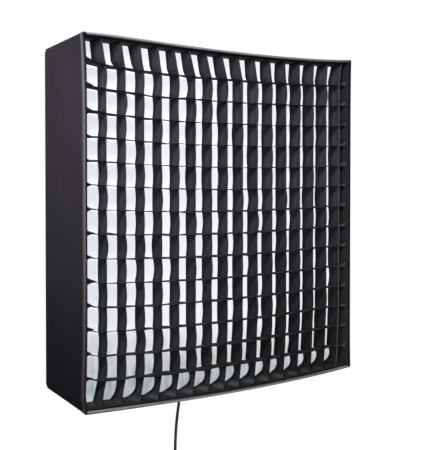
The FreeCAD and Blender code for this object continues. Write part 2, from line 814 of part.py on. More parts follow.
def arm(name, angle):
    """One folding arm: grooved knuckle on the pin, tube, and tip with its panel stud."""
    label = "arm_" + name
    y = -arm_plane
    half = knuckle_width / 2
    r = knuckle_radius
    bore = pin_radius + running_gap
    slack = plunger_radius + 0.2
    floor = r - groove_depth
    profile = [
        (bore, -half), (r - 0.6, -half), (r, 0.6 - half), (r, -slack), (floor, -slack),
        (floor, slack), (r, slack), (r, half - 0.6), (r - 0.6, half), (bore, half),
    ]
    eye = turned(label + "_eye", profile, (pivot_radius, y, 0))
    shank = cylinder(label + "_shank", arm_bore, 30, (pivot_radius + 6, y, 0), "+x")
    knuckle = fuse(label + "_knuckle", eye, shank)
    node(about_hub(knuckle, angle), label + "_knuckle")
    reach = (panel_side / 2 - grommet_inset) * math.sqrt(2)
    start = pivot_radius + knuckle_radius + 2
    length = reach - start - 3
    outer = cylinder(label + "_outer", arm_radius, length, (start, y, 0), "+x")
    inner = cylinder(label + "_inner", arm_bore, length + 2, (start - 1, y, 0), "+x")
    node(about_hub(cut(label + "_tube", outer, inner), angle), label + "_tube")
    seat = rear_standoff + fabric + hook_gauge - grommet_lip - 0.1
    back = arm_plane - tip_radius + 1
    top = seat - back
    stud = stud_radius
    profile = [
        (0, 0), (tip_radius - 1.5, 0), (tip_radius, 1.5), (tip_radius, 18), (6, 21), (6, top),
        (stud, top), (stud, top + 12), (stud - 1, top + 13), (0, top + 13),
    ]
    blank = turned(label + "_tip_blank", profile, (reach, -back, 0), "-y")
    hole = cylinder(label + "_tip_hole", arm_radius, length, (start, y, 0), "+x")
    node(about_hub(cut(label + "_tip", blank, hole), angle), label + "_tip")


# ---- tilt head ------------------------------------------------------------------------------

def clamp(name, position, along, pad_start, knob_start):
    """Brass pad, threaded screw and grip knob that run along one line."""
    pad = turned(name + "_pad", [(0, 0), (pad_radius - 0.5, 0), (pad_radius, 0.5),
                                 (pad_radius, pad_length), (0, pad_length)], ORIGIN)
    lift = {"+y": (0, 1, 0), "+z": (0, 0, 1)}[along]
    pad_spot = [size(part) + step * pad_start for part, step in zip(position, lift)]
    node(place(pad, pad_spot, TURNS[along]), name + "_pad")
    start = pad_start + pad_length
    length = knob_start + knob_length - 5 - start
    profile = [(0, 0), (screw_radius - 0.8, 0), (screw_radius, 0.8), (screw_radius, length), (0, length)]
    screw_spot = [size(part) + step * start for part, step in zip(position, lift)]
    node(turned(name + "_screw", profile, screw_spot, along), name + "_screw")
    r = knob_radius
    inner = knob_length - 5
    profile = [
        (screw_radius, 0), (9, 0), (9, 3), (r - 1, 3), (r, 4), (r, knob_length - 2),
        (r - 2, knob_length), (0, knob_length), (0, inner), (screw_radius, inner),
    ]
    blank = turned(name + "_knob_blank", profile, ORIGIN)
    grips = []
    for n in range(8):
        turn = math.radians(45 * n)
        spot = (math.cos(turn) * (r + 1.5), math.sin(turn) * (r + 1.5), 0)
        grips.append(cylinder(name + "_grip", 3.2, knob_length, spot))
    knob = cut(name + "_knob", blank, *grips)
    knob_spot = [size(part) + step * knob_start for part, step in zip(position, lift)]
    node(place(knob, knob_spot, TURNS[along]), name + "_knob")


def stand_receiver():
    """Socket for a stand spigot with a clamp boss below and a clevis above."""
    r = receiver_radius
    bore = socket_radius
    profile = [
        (bore, 0), (r - 1.5, 0), (r, 1.5), (r, receiver_height), (0, receiver_height),
        (0, socket_depth), (bore, socket_depth),
    ]
    socket = turned("socket_body", profile, ORIGIN)
    boss_spot = (0, socket_radius + 2, receiver_clamp_height)
    boss = cylinder("receiver_boss", boss_radius, 20 - 0.05, boss_spot, "+y")
    yoke = box("yoke_base", (-clevis_outer, -r, receiver_height - 10),
               (clevis_outer, r, receiver_height))
    ears = []
    for low, high in ((-clevis_outer, -clevis_inner), (clevis_inner, clevis_outer)):
        ears.append(box("ear", (low, -r, receiver_height - 1), (high, r, tilt_height)))
        ears.append(cylinder("ear_round", r, high - low, (low, 0, tilt_height), "+x"))
    blank = fuse("receiver_blank", socket, boss, yoke, *ears)
    across = 2 * clevis_outer + 2
    bolt_way = cylinder("bolt_hole", bolt_radius, across, (-clevis_outer - 1, 0, tilt_height), "+x")
    pad_way = cylinder("pad_way", pad_radius + running_gap, 17,
                       (0, 0, receiver_clamp_height), "+y")
    screw_way = cylinder("screw_way", screw_radius + running_gap, 40,
                         (0, 0, receiver_clamp_height), "+y")
    node(cut("stand_receiver", blank, bolt_way, pad_way, screw_way), "stand_receiver")


def tilt_fittings():
    """Cross bolt of the clevis and the friction washers either side of the tongue."""
    head = -clevis_outer - 6
    shank = 33.5 - head
    blank = turned("tilt_bolt_blank", [(0, 0), (7.5, 0), (8.5, 1), (8.5, 6), (bolt_radius, 6),
                                       (bolt_radius, shank), (0, shank)],
                   (head, 0, tilt_height), "+x")
    flats = [(3.5 * math.cos(math.radians(60 * n)), 3.5 * math.sin(math.radians(60 * n)))
             for n in range(6)]
    key = prism("tilt_bolt_key", "YZ_Plane", flats, 5, (head - 1, 0, tilt_height))
    node(cut("tilt_bolt", blank, key), "tilt_bolt")
    rings = []
    for start in (-clevis_inner, clevis_inner - 1):
        profile = [(bolt_radius, 0), (14, 0), (14, 1), (bolt_radius, 1)]
        rings.append(turned("washer", profile, (start, 0, tilt_height), "+x"))
    node(group("friction_washers", rings), "friction_washers")


def tilt_lever():
    """Clamping lever with a brass threaded insert on the end of the cross bolt."""
    start = clevis_outer + 0.5
    profile = [
        (8, 0), (12, 0), (12, 13), (10, 16.5), (0, 16.5), (0, 15), (5.2, 15), (5.2, 12.5), (8, 12.5),
    ]
    boss = turned("lever_boss", profile, (start, 0, 0), "+x")
    points = [(-7, 8), (7, 8), (5, 30), (5.5, lever_reach - 5), (3, lever_reach),
              (-3, lever_reach), (-5.5, lever_reach - 5), (-5, 30)]
    handle = prism("lever_handle", "YZ_Plane", points, 8, (start + 7, 0, 0))
    bore = cylinder("lever_bore", 8, 12.5, (start, 0, 0), "+x")
    blank = fuse("lever_blank", boss, handle)
    lever = cut("tilt_lever", blank, bore)
    lean = FreeCAD.Rotation(FreeCAD.Vector(1, 0, 0), -30)
    node(place(lever, (0, 0, tilt_height), lean), "tilt_lever")
    profile = [(bolt_radius + running_gap, 0), (8, 0), (8, 12), (bolt_radius + running_gap, 12)]
    node(turned("lever_insert", profile, (start + 0.5, 0, tilt_height), "+x"), "lever_insert")


def neck_block():
    """Tongue on the cross bolt and a barrel that takes the hub spigot."""
    height = tilt_height
    round_end = cylinder("tongue_round", tongue_radius, 2 * tongue_half,
                         (-tongue_half, 0, height), "+x")
    web = box("tongue_web", (-tongue_half, -neck_start - 2, height - tongue_radius),
              (tongue_half, 0, height + tongue_radius))
    barrel_length = neck_end - neck_start
    profile = [(0, 0), (neck_radius - 2, 0), (neck_radius, 2), (neck_radius, barrel_length - 1),
               (neck_radius - 1, barrel_length), (0, barrel_length)]
    barrel = turned("neck_barrel", profile, (0, -neck_start, height), "-y")
    boss = cylinder("neck_boss", boss_radius, 28 - 9, (0, -neck_clamp_plane, height + 9))
    blank = fuse("neck_blank", round_end, web, barrel, boss)
    bolt_way = cylinder("neck_bolt_way", bolt_radius + running_gap, 24, (-12, 0, height), "+x")
    bore = cylinder("neck_bore", spigot_radius + running_gap, neck_end - spigot_end + 3,
                    (0, 2 - spigot_end, height), "-y")
    pad_way = cylinder("neck_pad_way", pad_radius + running_gap, 17,
                       (0, -neck_clamp_plane, height))
    screw_way = cylinder("neck_screw_way", screw_radius + running_gap, 40,
                         (0, -neck_clamp_plane, height))
    node(cut("neck_block", blank, bolt_way, bore, pad_way, screw_way), "neck_block")


# ---- build, check, export ---------------------------------------------------------------------

def build():
    side_wall("wall_left", -1)
    side_wall("wall_right", 1)
    level_wall("wall_top", 1)
    level_wall("wall_bottom", -1)
    rear_flaps()
    wall_lining()
    rim_hook_band()
    front_binding()
    inner_baffle()
    baffle_straps()
    corner_stays()
    front_diffuser()
    fabric_grid()
    light_panel()
    corner_grommets()
    hook_strips()
    cable_and_plug()
    frame_hub()
    hub_fittings()
    hub_spigot()
    for name, (_, _, angle) in CORNERS.items():
        arm(name, angle)
    stand_receiver()
    tilt_fittings()
    clamp("receiver", (0, 0, receiver_clamp_height), "+y", size(9.5), size(36))
    tilt_lever()
    neck_block()
    clamp("neck", (0, -neck_clamp_plane, tilt_height), "+z", size(9.3), size(31))
    doc.recompute()


def export():
    os.makedirs("parts", exist_ok=True)
    for thing in doc.Objects:
        if {"Invalid", "Error"} & set(thing.State):
            raise RuntimeError(f"{thing.Name}: {thing.State}")
    for thing in nodes:
        shape = thing.Shape
        if shape.isNull() or not shape.isValid() or not shape.Solids:
            raise RuntimeError(f"{thing.Label}: bad shape")
        shape.exportStep(f"parts/{thing.Label}.step")
        limits = shape.BoundBox
        print(f"{thing.Label:26s} solids {len(shape.Solids):3d} volume {shape.Volume:12.1f} "
              f"x {limits.XMin:8.1f} {limits.XMax:8.1f} y {limits.YMin:8.1f} {limits.YMax:8.1f} "
              f"z {limits.ZMin:8.1f} {limits.ZMax:8.1f}")


build()
export()
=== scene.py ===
import json
import math
import random
import bmesh
import bpy
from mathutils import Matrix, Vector, noise


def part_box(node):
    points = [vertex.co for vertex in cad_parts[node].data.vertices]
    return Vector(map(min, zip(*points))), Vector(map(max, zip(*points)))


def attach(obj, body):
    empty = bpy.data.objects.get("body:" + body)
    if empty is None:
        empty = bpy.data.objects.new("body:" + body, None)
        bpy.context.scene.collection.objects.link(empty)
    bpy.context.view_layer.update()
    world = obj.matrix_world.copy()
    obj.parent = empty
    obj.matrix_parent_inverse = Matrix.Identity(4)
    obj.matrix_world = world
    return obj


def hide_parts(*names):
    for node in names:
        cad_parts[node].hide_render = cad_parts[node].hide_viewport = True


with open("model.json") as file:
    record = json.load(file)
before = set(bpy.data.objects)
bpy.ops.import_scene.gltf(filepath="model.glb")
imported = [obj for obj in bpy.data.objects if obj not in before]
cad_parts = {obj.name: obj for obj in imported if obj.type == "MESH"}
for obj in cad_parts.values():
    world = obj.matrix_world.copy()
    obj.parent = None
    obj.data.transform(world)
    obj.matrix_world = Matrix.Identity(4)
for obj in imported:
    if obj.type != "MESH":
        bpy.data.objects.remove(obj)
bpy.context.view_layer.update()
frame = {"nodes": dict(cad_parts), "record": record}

# ---- sizes, in metres -----------------------------------------------------------------
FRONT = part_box("wall_left")[0].y
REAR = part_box("wall_left")[1].y
DEPTH = REAR - FRONT
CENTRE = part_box("stay_sockets")[0].lerp(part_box("stay_sockets")[1], 0.5).z
HALF_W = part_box("wall_right")[1].x
HALF_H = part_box("wall_top")[1].z - CENTRE
FLAP_INSET = 0.002     # the rear flaps end this far inside the walls
BULGE = 0.003          # the walls stand out this far at the back
REAR_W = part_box("rear_flaps")[1].x + FLAP_INSET + BULGE
REAR_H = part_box("rear_flaps")[1].z - CENTRE + FLAP_INSET + BULGE
SAG = 0.0098           # drop of the level front edges in their middle
BOW_LEFT = 0.0045      # how far an upright front edge bows inwards
BOW_RIGHT = -0.0015
CORNER_SWING = 0.004   # how far the lower left corner swings outwards
HOLLOW = 0.001         # how far the walls are drawn in between their edges
ROUND = 0.004          # radius of the walls' roll at the back
RIM_CORNER = 0.0015    # corner radius of the box at the rim
REAR_CORNER = 0.008    # and at the back
WALL_INSET = 0.0006    # the wall cloth lies this far inside the outline
WALL_GAUGE = 0.0012
HEM = 0.0043           # the grid strips are sewn this far inside the outline
QUILT = 0.151          # pitch of the quilting lines on the light panel
PANEL_EDGE = 0.0015    # the padded cover ends this far inside the panel
COLUMNS, ROWS = 17, 15
ACROSS_STRIP = (0, 1 / 3, 2 / 3, 1)     # points across a grid strip, from front to rear
SIDES = ("right", "top", "left", "bottom")
# Loose front corners: side, end, lift and how far along the rim the lift reaches.
LOOSE_CORNERS = (
    (-1, 1, -0.0064, 0.065),
    (-1, -1, -0.0034, 0.110),
    (1, 1, 0.0020, 0.050),
    (1, -1, 0.0014, 0.050),
)


# ---- mesh helpers ----------------------------------------------------------------------
def piece(name, verts, faces, body, finish, nodes=(), slot=None, closed=False):
    """A mesh object that rides on a CAD body and may stand for CAD nodes."""
    mesh = bpy.data.meshes.new(name)
    mesh.from_pydata(verts, [], faces)
    mesh.validate()
    if closed:
        work = bmesh.new()
        work.from_mesh(mesh)
        bmesh.ops.recalc_face_normals(work, faces=work.faces)
        work.to_mesh(mesh)
        work.free()
    mesh.update()
    mesh.polygons.foreach_set("use_smooth", [True] * len(mesh.polygons))
    obj = bpy.data.objects.new(name, mesh)
    bpy.context.scene.collection.objects.link(obj)
    obj.data.materials.append(finish)
    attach(obj, body)
    if nodes:
        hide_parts(*nodes)
    return obj


def lattice(rows, columns, wrap_rows=False, wrap_columns=False, start=0):
    """Quads over a rows by columns net of points."""
    faces = []
    for r in range(rows if wrap_rows else rows - 1):
        for c in range(columns if wrap_columns else columns - 1):
            a = start + r * columns + c
            b = start + r * columns + (c + 1) % columns
            d = start + ((r + 1) % rows) * columns + c
            e = start + ((r + 1) % rows) * columns + (c + 1) % columns
            faces.append((a, b, e, d))
    return faces


def shell_faces(rows, columns):
    """Faces of a closed shell: a net of points, a second net behind it, and the rim between."""
    size = rows * columns
    faces = lattice(rows, columns) + [face[::-1] for face in lattice(rows, columns, start=size)]
    rim = list(range(columns)) + [(r + 1) * columns - 1 for r in range(1, rows)]
    rim += [(rows - 1) * columns + c for c in range(columns - 2, -1, -1)]
    rim += [r * columns for r in range(rows - 2, 0, -1)]
    for n, a in enumerate(rim):
        b = rim[(n + 1) % len(rim)]
        faces.append((b, a, a + size, b + size))
    return faces


def thicken(obj, gauge, offset=0):
    """Give cloth its gauge, to both sides or, with offset -1, behind its surface."""
    solid = obj.modifiers.new("gauge", "SOLIDIFY")
    solid.thickness = gauge
    solid.offset = offset


def sheet(name, point, across, along, body, finish, gauge, **kind):
    """Cloth of a given gauge over point(u, v), u and v from 0 to 1."""
    verts = [point(c / across, r / along) for r in range(along + 1) for c in range(across + 1)]
    thicken(piece(name, verts, lattice(along + 1, across + 1), body, finish, **kind), gauge)


def tube(points, radius, sides=8, closed=False):
    """Vertices and faces of a round tube along points."""
    verts = []
    count = len(points)
    # Any direction that no run of cloth or thread follows.
    side = Vector((0.31, 0.52, 0.79)).normalized()
    for n, p in enumerate(points):
        ahead = points[(n + 1) % count] if closed or n < count - 1 else p
        behind = points[n - 1] if closed or n else p
        forward = (ahead - behind).normalized()
        side = (side - forward * side.dot(forward)).normalized()
        up = forward.cross(side)
        for k in range(sides):
            turn = 2 * math.pi * k / sides
            verts.append(p + (side * math.cos(turn) + up * math.sin(turn)) * radius)
    faces = lattice(count, sides, wrap_rows=closed, wrap_columns=True)
    if not closed:
        faces.append(tuple(range(sides))[::-1])
        faces.append(tuple(range((count - 1) * sides, count * sides)))
    return verts, faces


def merged(parts):
    """One vertex and face list from several."""
    verts, faces = [], []
    for more_verts, more_faces in parts:
        base = len(verts)
        verts += more_verts
        faces += [tuple(base + i for i in face) for face in more_faces]
    return verts, faces


def clamped(value):
    """A value held between 0 and 1."""
    return min(1.0, max(0.0, value))


def eased(value):
    """Soft step from 0 to 1."""
    t = clamped(value)
    return t * t * (3 - 2 * t)


# ---- shape of the fabric box ---------------------------------------------------------
def bearing(side):
    """Whether a side of the box is upright, and on which side of the middle it lies."""
    return side in ("left", "right"), 1 if side in ("right", "top") else -1


def spans(setback):
    """Half width and half height of the outside of the box at a setback from the rim."""
    t = setback / DEPTH
    return HALF_W + (REAR_W - HALF_W) * t, HALF_H + (REAR_H - HALF_H) * t


def settle(x, z, setback):
    """Where cloth at (x, z) really hangs: level edges sag, upright ones bow, corners are loose."""
    w, h = spans(setback)
    loose = max(0.0, 1 - setback / DEPTH)
    across = min(1.0, abs(x) / w)
    up = min(1.0, abs(z) / h)
    drop = SAG * loose * (1 - across ** 2)
    for side, end, lift, reach in LOOSE_CORNERS:
        near = math.exp(-max(0.0, w - side * x) / reach)
        drop -= lift * loose * near * clamped(end * z / h) ** 8
    bow = BOW_LEFT if x < 0 else BOW_RIGHT
    pull = bow * loose * (1 - up ** 8) * across ** 3
    if x < 0 and z < 0:
        pull -= CORNER_SWING * loose * up ** 5 * across ** 3
    return Vector((x - math.copysign(pull, x), FRONT + setback, CENTRE + z - drop))


def hang(x, z, setback):
    """A point of a stretched wall, hollow in the middle and gently rippled."""
    w, h = spans(setback)
    upright = abs(x) / w > abs(z) / h
    along = z / h if upright else x / w
    fade = max(0.0, 1 - along ** 6) * math.sin(math.pi * min(1.0, setback / DEPTH)) ** 0.8
    coarse = 0.0008 * noise.noise(Vector((x * 9 + 3.1, setback * 22, z * 9)))
    fine = 0.0004 * noise.noise(Vector((x * 30, setback * 18 + 7, z * 30)))
    depth = fade * (HOLLOW + (coarse + fine))
    inward = (-math.copysign(depth, x), 0, 0) if upright else (0, 0, -math.copysign(depth, z))
    return settle(x, z, setback) + Vector(inward)


def corner_radius(setback):
    """Corner radius of the walls at a setback from the rim."""
    return RIM_CORNER + (REAR_CORNER - RIM_CORNER) * setback / DEPTH


def side_run(w, h, radius, straight=28, bend=4):
    """Points of one side of a rounded rectangle, from corner middle to corner middle."""
    points = []
    for n in range(bend + 1):
        turn = math.radians(-45 + 45 * n / bend)
        points.append((w - radius + radius * math.cos(turn), -h + radius + radius * math.sin(turn)))
    for n in range(1, straight):
        points.append((w, (-h + radius) + (2 * h - 2 * radius) * n / straight))
    for n in range(bend + 1):
        turn = math.radians(45 * n / bend)
        points.append((w - radius + radius * math.cos(turn), h - radius + radius * math.sin(turn)))
    return points


def side_points(side, setback, inset, radius):
    """Points on one side of the box at a setback, moved in by an inset."""
    w, h = spans(setback)
    w, h = w - inset, h - inset
    if bearing(side)[0]:
        run = side_run(w, h, radius)
        if side == "left":
            run = [(-x, -z) for x, z in run]
    else:
        run = side_run(h, w, radius)
        run = [(-z, x) if side == "top" else (z, -x) for x, z in run]
    return run


def loop_points(setback, inset, radius):
    """Closed loop round the box at a setback."""
    points = []
    for side in SIDES:
        points += side_points(side, setback, inset, radius)[:-1]
    return points


def rim_sweep(name, profile, body, finish, shape=settle, **kind):
    """Closed band round the box from a profile of (inset, setback) points."""
    corner, least_corner = 0.002, 0.0006
    verts = []
    for inset, setback in profile:
        loop = loop_points(setback, inset, max(least_corner, corner - inset))
        verts += [shape(x, z, setback) for x, z in loop]
    faces = lattice(len(profile), len(verts) // len(profile), wrap_rows=True, wrap_columns=True)
    return piece(name, verts, faces, body, finish, closed=True, **kind)


# ---- materials --------------------------------------------------------------------------
class Finish:
    """Small wrapper that builds a node material."""

    def __init__(self, name, colour, rough=0.6, metal=0.0):
        self.material = bpy.data.materials.new(name)
        self.material.use_nodes = True
        self.tree = self.material.node_tree
        self.shader = self.tree.nodes["Principled BSDF"]
        self.put("Base Color", (*colour, 1))
        self.put("Roughness", rough)
        self.put("Metallic", metal)
        where = self.add("ShaderNodeTexCoord")
        self.place = where.outputs["Object"]
        self.facing = where.outputs["Normal"]

    def add(self, kind, **settings):
        """A new node of the material."""
        node = self.tree.nodes.new(kind)
        for key, value in settings.items():
            setattr(node, key, value)
        return node

    def put(self, socket, value, node=None):
        """Set an input of a node, or of the shader, to a value or to another node's output."""
        target = (node or self.shader).inputs[socket]
        if isinstance(value, bpy.types.NodeSocket):
            self.tree.links.new(value, target)
        else:
            target.default_value = value

    def axes(self):
        """X, Y and Z of the shaded point."""
        parts = self.add("ShaderNodeSeparateXYZ")
        self.put(0, self.place, parts)
        return parts.outputs

    def maths(self, kind, a, b=0.0):
        """Arithmetic on one or two values."""
        node = self.add("ShaderNodeMath", operation=kind)
        self.put(0, a, node)
        self.put(1, b, node)
        return node.outputs[0]

    def times(self, a, b):
        """Product of two values."""
        return self.maths("MULTIPLY", a, b)

    def less(self, a, b):
        """First value less the second."""
        return self.maths("SUBTRACT", a, b)

    def vectors(self, kind, a, b=(0, 0, 0), output=0):
        """Arithmetic on one or two vectors."""
        node = self.add("ShaderNodeVectorMath", operation=kind)
        self.put(0, a, node)
        self.put(1, b, node)
        return node.outputs[output]

    def noise(self, scale, detail=3.0, stretch=(1, 1, 1)):
        """Cloudy noise, drawn out along an axis where its stretch is small."""
        node = self.add("ShaderNodeTexNoise")
        self.put("Scale", scale, node)
        self.put("Detail", detail, node)
        self.put("Vector", self.vectors("MULTIPLY", self.place, stretch), node)
        return node.outputs["Fac"]

    def cells(self, scale, **settings):
        """Distance to the middles of scattered cells."""
        node = self.add("ShaderNodeTexVoronoi", **settings)
        self.put("Vector", self.place, node)
        self.put("Scale", scale, node)
        return node.outputs["Distance"]

    def threads(self, pitch):
        """Woven threads that run square to one another on any level or upright face."""
        wave_period = 0.314     # of a wave texture at scale 1
        total = None
        for axis in ("X", "Y", "Z"):
            wave = self.add("ShaderNodeTexWave", wave_type="BANDS", bands_direction=axis)
            self.put("Vector", self.place, wave)
            self.put("Scale", wave_period / pitch, wave)
            self.put("Distortion", 0.4, wave)
            bands = wave.outputs["Fac"]
            total = self.maths("ADD", total, bands) if total else bands
        return total

    def ramp(self, factor, low, high, start=0.0, stop=1.0):
        """From low to high while the factor goes from start to stop."""
        node = self.add("ShaderNodeMapRange")
        for key, value in zip(("Value", "From Min", "From Max", "To Min", "To Max"),
                              (factor, start, stop, low, high)):
            self.put(key, value, node)
        return node.outputs[0]

    def rising(self, factor, start, stop):
        """0 up to start and 1 from stop on."""
        return self.ramp(factor, 0.0, 1.0, start, stop)

    def falling(self, factor, start, stop):
        """1 up to start and 0 from stop on."""
        return self.ramp(factor, 1.0, 0.0, start, stop)

    def blend(self, factor, first, second):
        """Colour from first (factor 0) to second (factor 1)."""
        node = self.add("ShaderNodeMix", data_type="RGBA")
        self.put(0, factor, node)
        for socket, colour in ((6, first), (7, second)):
            value = colour if isinstance(colour, bpy.types.NodeSocket) else (*colour, 1)
            self.put(socket, value, node)
        return node.outputs[2]

    def bump(self, height, distance, strength):
        """Surface relief."""
        node = self.add("ShaderNodeBump")
        self.put("Height", height, node)
        self.put("Distance", distance, node)
        self.put("Strength", strength, node)
        self.put("Normal", node.outputs[0])


def woven(name, dark, light, pitch, rough=0.75, sheen=0.04, relief=0.0002, gloss=0.2):
    """Woven cloth: threads in relief, slow colour change and a soft sheen."""
    f = Finish(name, dark, rough)
    threads = f.threads(pitch)
    worn = f.times(f.rising(f.noise(6.0, 4.0), 0.3, 0.7), f.ramp(threads, 0.4, 1.0, 0.5, 2.0))
    f.colour = f.blend(worn, dark, light)
    f.put("Base Color", f.colour)
    f.put("Roughness", f.ramp(f.noise(40.0), rough - 0.1, rough + 0.1, 0.3, 0.7))
    f.put("Specular IOR Level", gloss)
    f.put("Sheen Weight", sheen)
    f.put("Sheen Roughness", 0.5)
    f.bump(threads, relief, 0.6)
    return f


def metal(name, colour, rough, shine=1.0):
    """Metal with fine tool marks and smudges."""
    f = Finish(name, colour, rough, shine)
    marks = f.noise(900.0, 2.0, (1, 1, 14))
    smudge = f.noise(35.0, 5.0)
    f.put("Roughness", f.ramp(smudge, rough * 0.75, rough * 1.3, 0.3, 0.7))
    f.put("Base Color", f.blend(f.rising(smudge, 0.35, 0.75), colour, [c * 0.8 for c in colour]))
    f.bump(marks, 0.00004, 0.4)
    return f


def plastic(name, colour, rough=0.5, grain=0.00006):
    """Moulded plastic with a fine grain."""
    f = Finish(name, colour, rough)
    fine = f.noise(2600.0, 2.0)
    f.put("Roughness", f.ramp(f.noise(50.0, 4.0), rough - 0.08, rough + 0.12, 0.3, 0.7))
    f.put("Base Color", f.blend(f.rising(f.noise(18.0), 0.3, 0.7), colour, [c * 1.35 for c in colour]))
    f.bump(fine, grain, 0.6)
    return f


def highlighted_binding_cloth():
    """Black tape with a painted highlight: grey along the fold where it faces the light, brightest on the
    level edges; black inside and on the outer leaf, which is painted a little lighter near the front.
    """
    # Painted highlight greys for the fold on each rim, and for the outer leaf.
    upper_rim_highlight, lower_rim_highlight = (0.27, 0.265, 0.28), (0.23, 0.225, 0.235)
    far_rim_highlight, near_rim_highlight = (0.21, 0.205, 0.22), (0.062, 0.060, 0.065)
    leaf_front_highlight, leaf_back = (0.060, 0.058, 0.063), (0.014, 0.013, 0.015)
    f = woven("binding_tape", (0.007, 0.0065, 0.008), (0.012, 0.011, 0.013), 0.0009, 0.7, 0.02, 0.0003, 0.1)
    outward = f.vectors("MULTIPLY", f.vectors("SUBTRACT", f.place, (0, 0, CENTRE)), (1, 0, 1))
    outside = f.vectors("DOT_PRODUCT", f.vectors("NORMALIZE", outward), f.facing, "Value")
    across, back, up = f.axes()
    height = f.less(up, CENTRE)
    # Where on the rim a point lies.
    lower = f.falling(height, -HALF_H + 0.016, -HALF_H + 0.020)
    near = f.falling(across, -HALF_W + 0.003, -HALF_W + 0.009)
    far = f.rising(across, HALF_W - 0.008, HALF_W - 0.003)
    between = f.less(f.less(1.0, near), far)
    level = f.times(f.rising(f.maths("ABSOLUTE", height), HALF_H - 0.020, HALF_H - 0.016), between)
    # The painted highlight of the fold there, and of the outer leaf behind it.
    edge = f.blend(lower, upper_rim_highlight, lower_rim_highlight)
    grey = f.blend(near, f.blend(level, far_rim_highlight, edge), near_rim_highlight)
    leaf = f.blend(f.rising(back, FRONT + 0.0028, FRONT + 0.0065), leaf_front_highlight, leaf_back)
    fold = f.blend(f.rising(outside, 0.72, 0.92), grey, leaf)
    # How far round the fold the painted highlight begins, and where it is left out.
    start = f.less(f.maths("ADD", -0.25, f.times(near, 0.70)), f.times(level, 0.75))
    begun = f.rising(f.less(outside, start), 0.0, 0.3)
    far_highlight_gap = f.times(far, f.less(1.0, f.ramp(height, 0.75, 0.1, -0.05, 0.02)))
    low_highlight_gap = f.times(f.rising(outside, -0.1, 0.2), f.falling(across, -0.24, -0.12))
    low_highlight_gap = f.times(low_highlight_gap, f.times(lower, between))
    highlight_shown = f.times(f.times(f.less(1.0, far_highlight_gap), begun), f.less(1.0, low_highlight_gap))
    # Painted highlight laid over the black tape.
    f.put("Base Color", f.blend(highlight_shown, f.colour, fold))
    return f.material


def strip_cloth():
    """Strip cloth: upright streaks in an uneven dye, with painted shade low down and to the right, painted
    shade along the rear edge and a little at the front edge, and a painted highlight at the feet.
    """
    blue_dye, red_dye = (0.024, 0.0295, 0.040), (0.043, 0.035, 0.047)
    blue_streak, red_streak = (0.011, 0.014, 0.021), (0.025, 0.018, 0.028)
    strip_painted_shade, rear_painted_shade, front_painted_shade = (0.006, 0.0058, 0.0068), (0.0005, 0.0005, 0.001), (0.004, 0.004, 0.005)
    foot_painted_highlight, strip_edge_highlight = (0.058, 0.058, 0.061), (0.16, 0.158, 0.17)
    f = woven("strip_cloth", (0.029, 0.0283, 0.034), (0.047, 0.0463, 0.055), 0.001, 0.8)
    across, back, up = f.axes()
    low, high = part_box("grid_border")
    streak = f.rising(f.noise(150.0, 3.0, (1, 1, 0.05)), 0.38, 0.62)
    hue = f.rising(f.noise(30.0, 1.0, (1, 0.2, 0.06)), 0.42, 0.58)
    cloth = f.blend(0.6, f.colour, f.blend(hue, blue_dye, red_dye))
    cloth = f.blend(f.times(streak, 0.85), cloth, f.blend(hue, blue_streak, red_streak))
    # Painted shade, darker low down and towards the right.
    shade = f.falling(up, CENTRE - 0.8 * HALF_H, CENTRE + 0.04)
    shade = f.times(shade, f.ramp(across, 0.35, 1.0, -0.20, 0.10))
    cloth = f.blend(shade, cloth, strip_painted_shade)
    # Painted shade along the rear edge, where the gloss and sheen are taken away as well.
    rear = f.ramp(back, 0.0, 0.82, low.y + 0.55 * (high.y - low.y), high.y - 0.001)
    cloth = f.blend(rear, cloth, rear_painted_shade)
    f.put("Specular IOR Level", f.ramp(rear, 0.2, 0.0))
    f.put("Sheen Weight", f.ramp(rear, 0.04, 0.0))
    # Painted shade along the front edge.
    cloth = f.blend(f.ramp(back, 0.35, 0.0, low.y, low.y + 0.010), cloth, front_painted_shade)
    # Painted highlight on the feet, which turn up towards the light.
    foot = f.falling(up, CENTRE - HALF_H + 0.002, CENTRE - HALF_H + 0.009)
    return last_column_highlight(f, f.blend(foot, cloth, foot_painted_highlight), strip_edge_highlight)


def last_column_highlight(f, cloth, pale):
    """Cloth with a painted highlight along its front edge in the last column, where it faces the light."""
    across, back, _ = f.axes()
    last = f.rising(across, HALF_W - 0.045, HALF_W - 0.040)
    edge = f.times(last, f.falling(back, FRONT + 0.0055, FRONT + 0.0075))
    f.put("Base Color", f.blend(edge, cloth, pale))
    return f.material


def shaded_level_cloth():
    """Cloth of the level strips, painted darker than the upright strips' cloth as shade, since they lie in
    the shadow of the other strips.
    """
    f = woven("level_strip_shaded_cloth", (0.004, 0.004, 0.005), (0.009, 0.009, 0.011), 0.001, 0.85)
    return last_column_highlight(f, f.colour, (0.11, 0.11, 0.12))


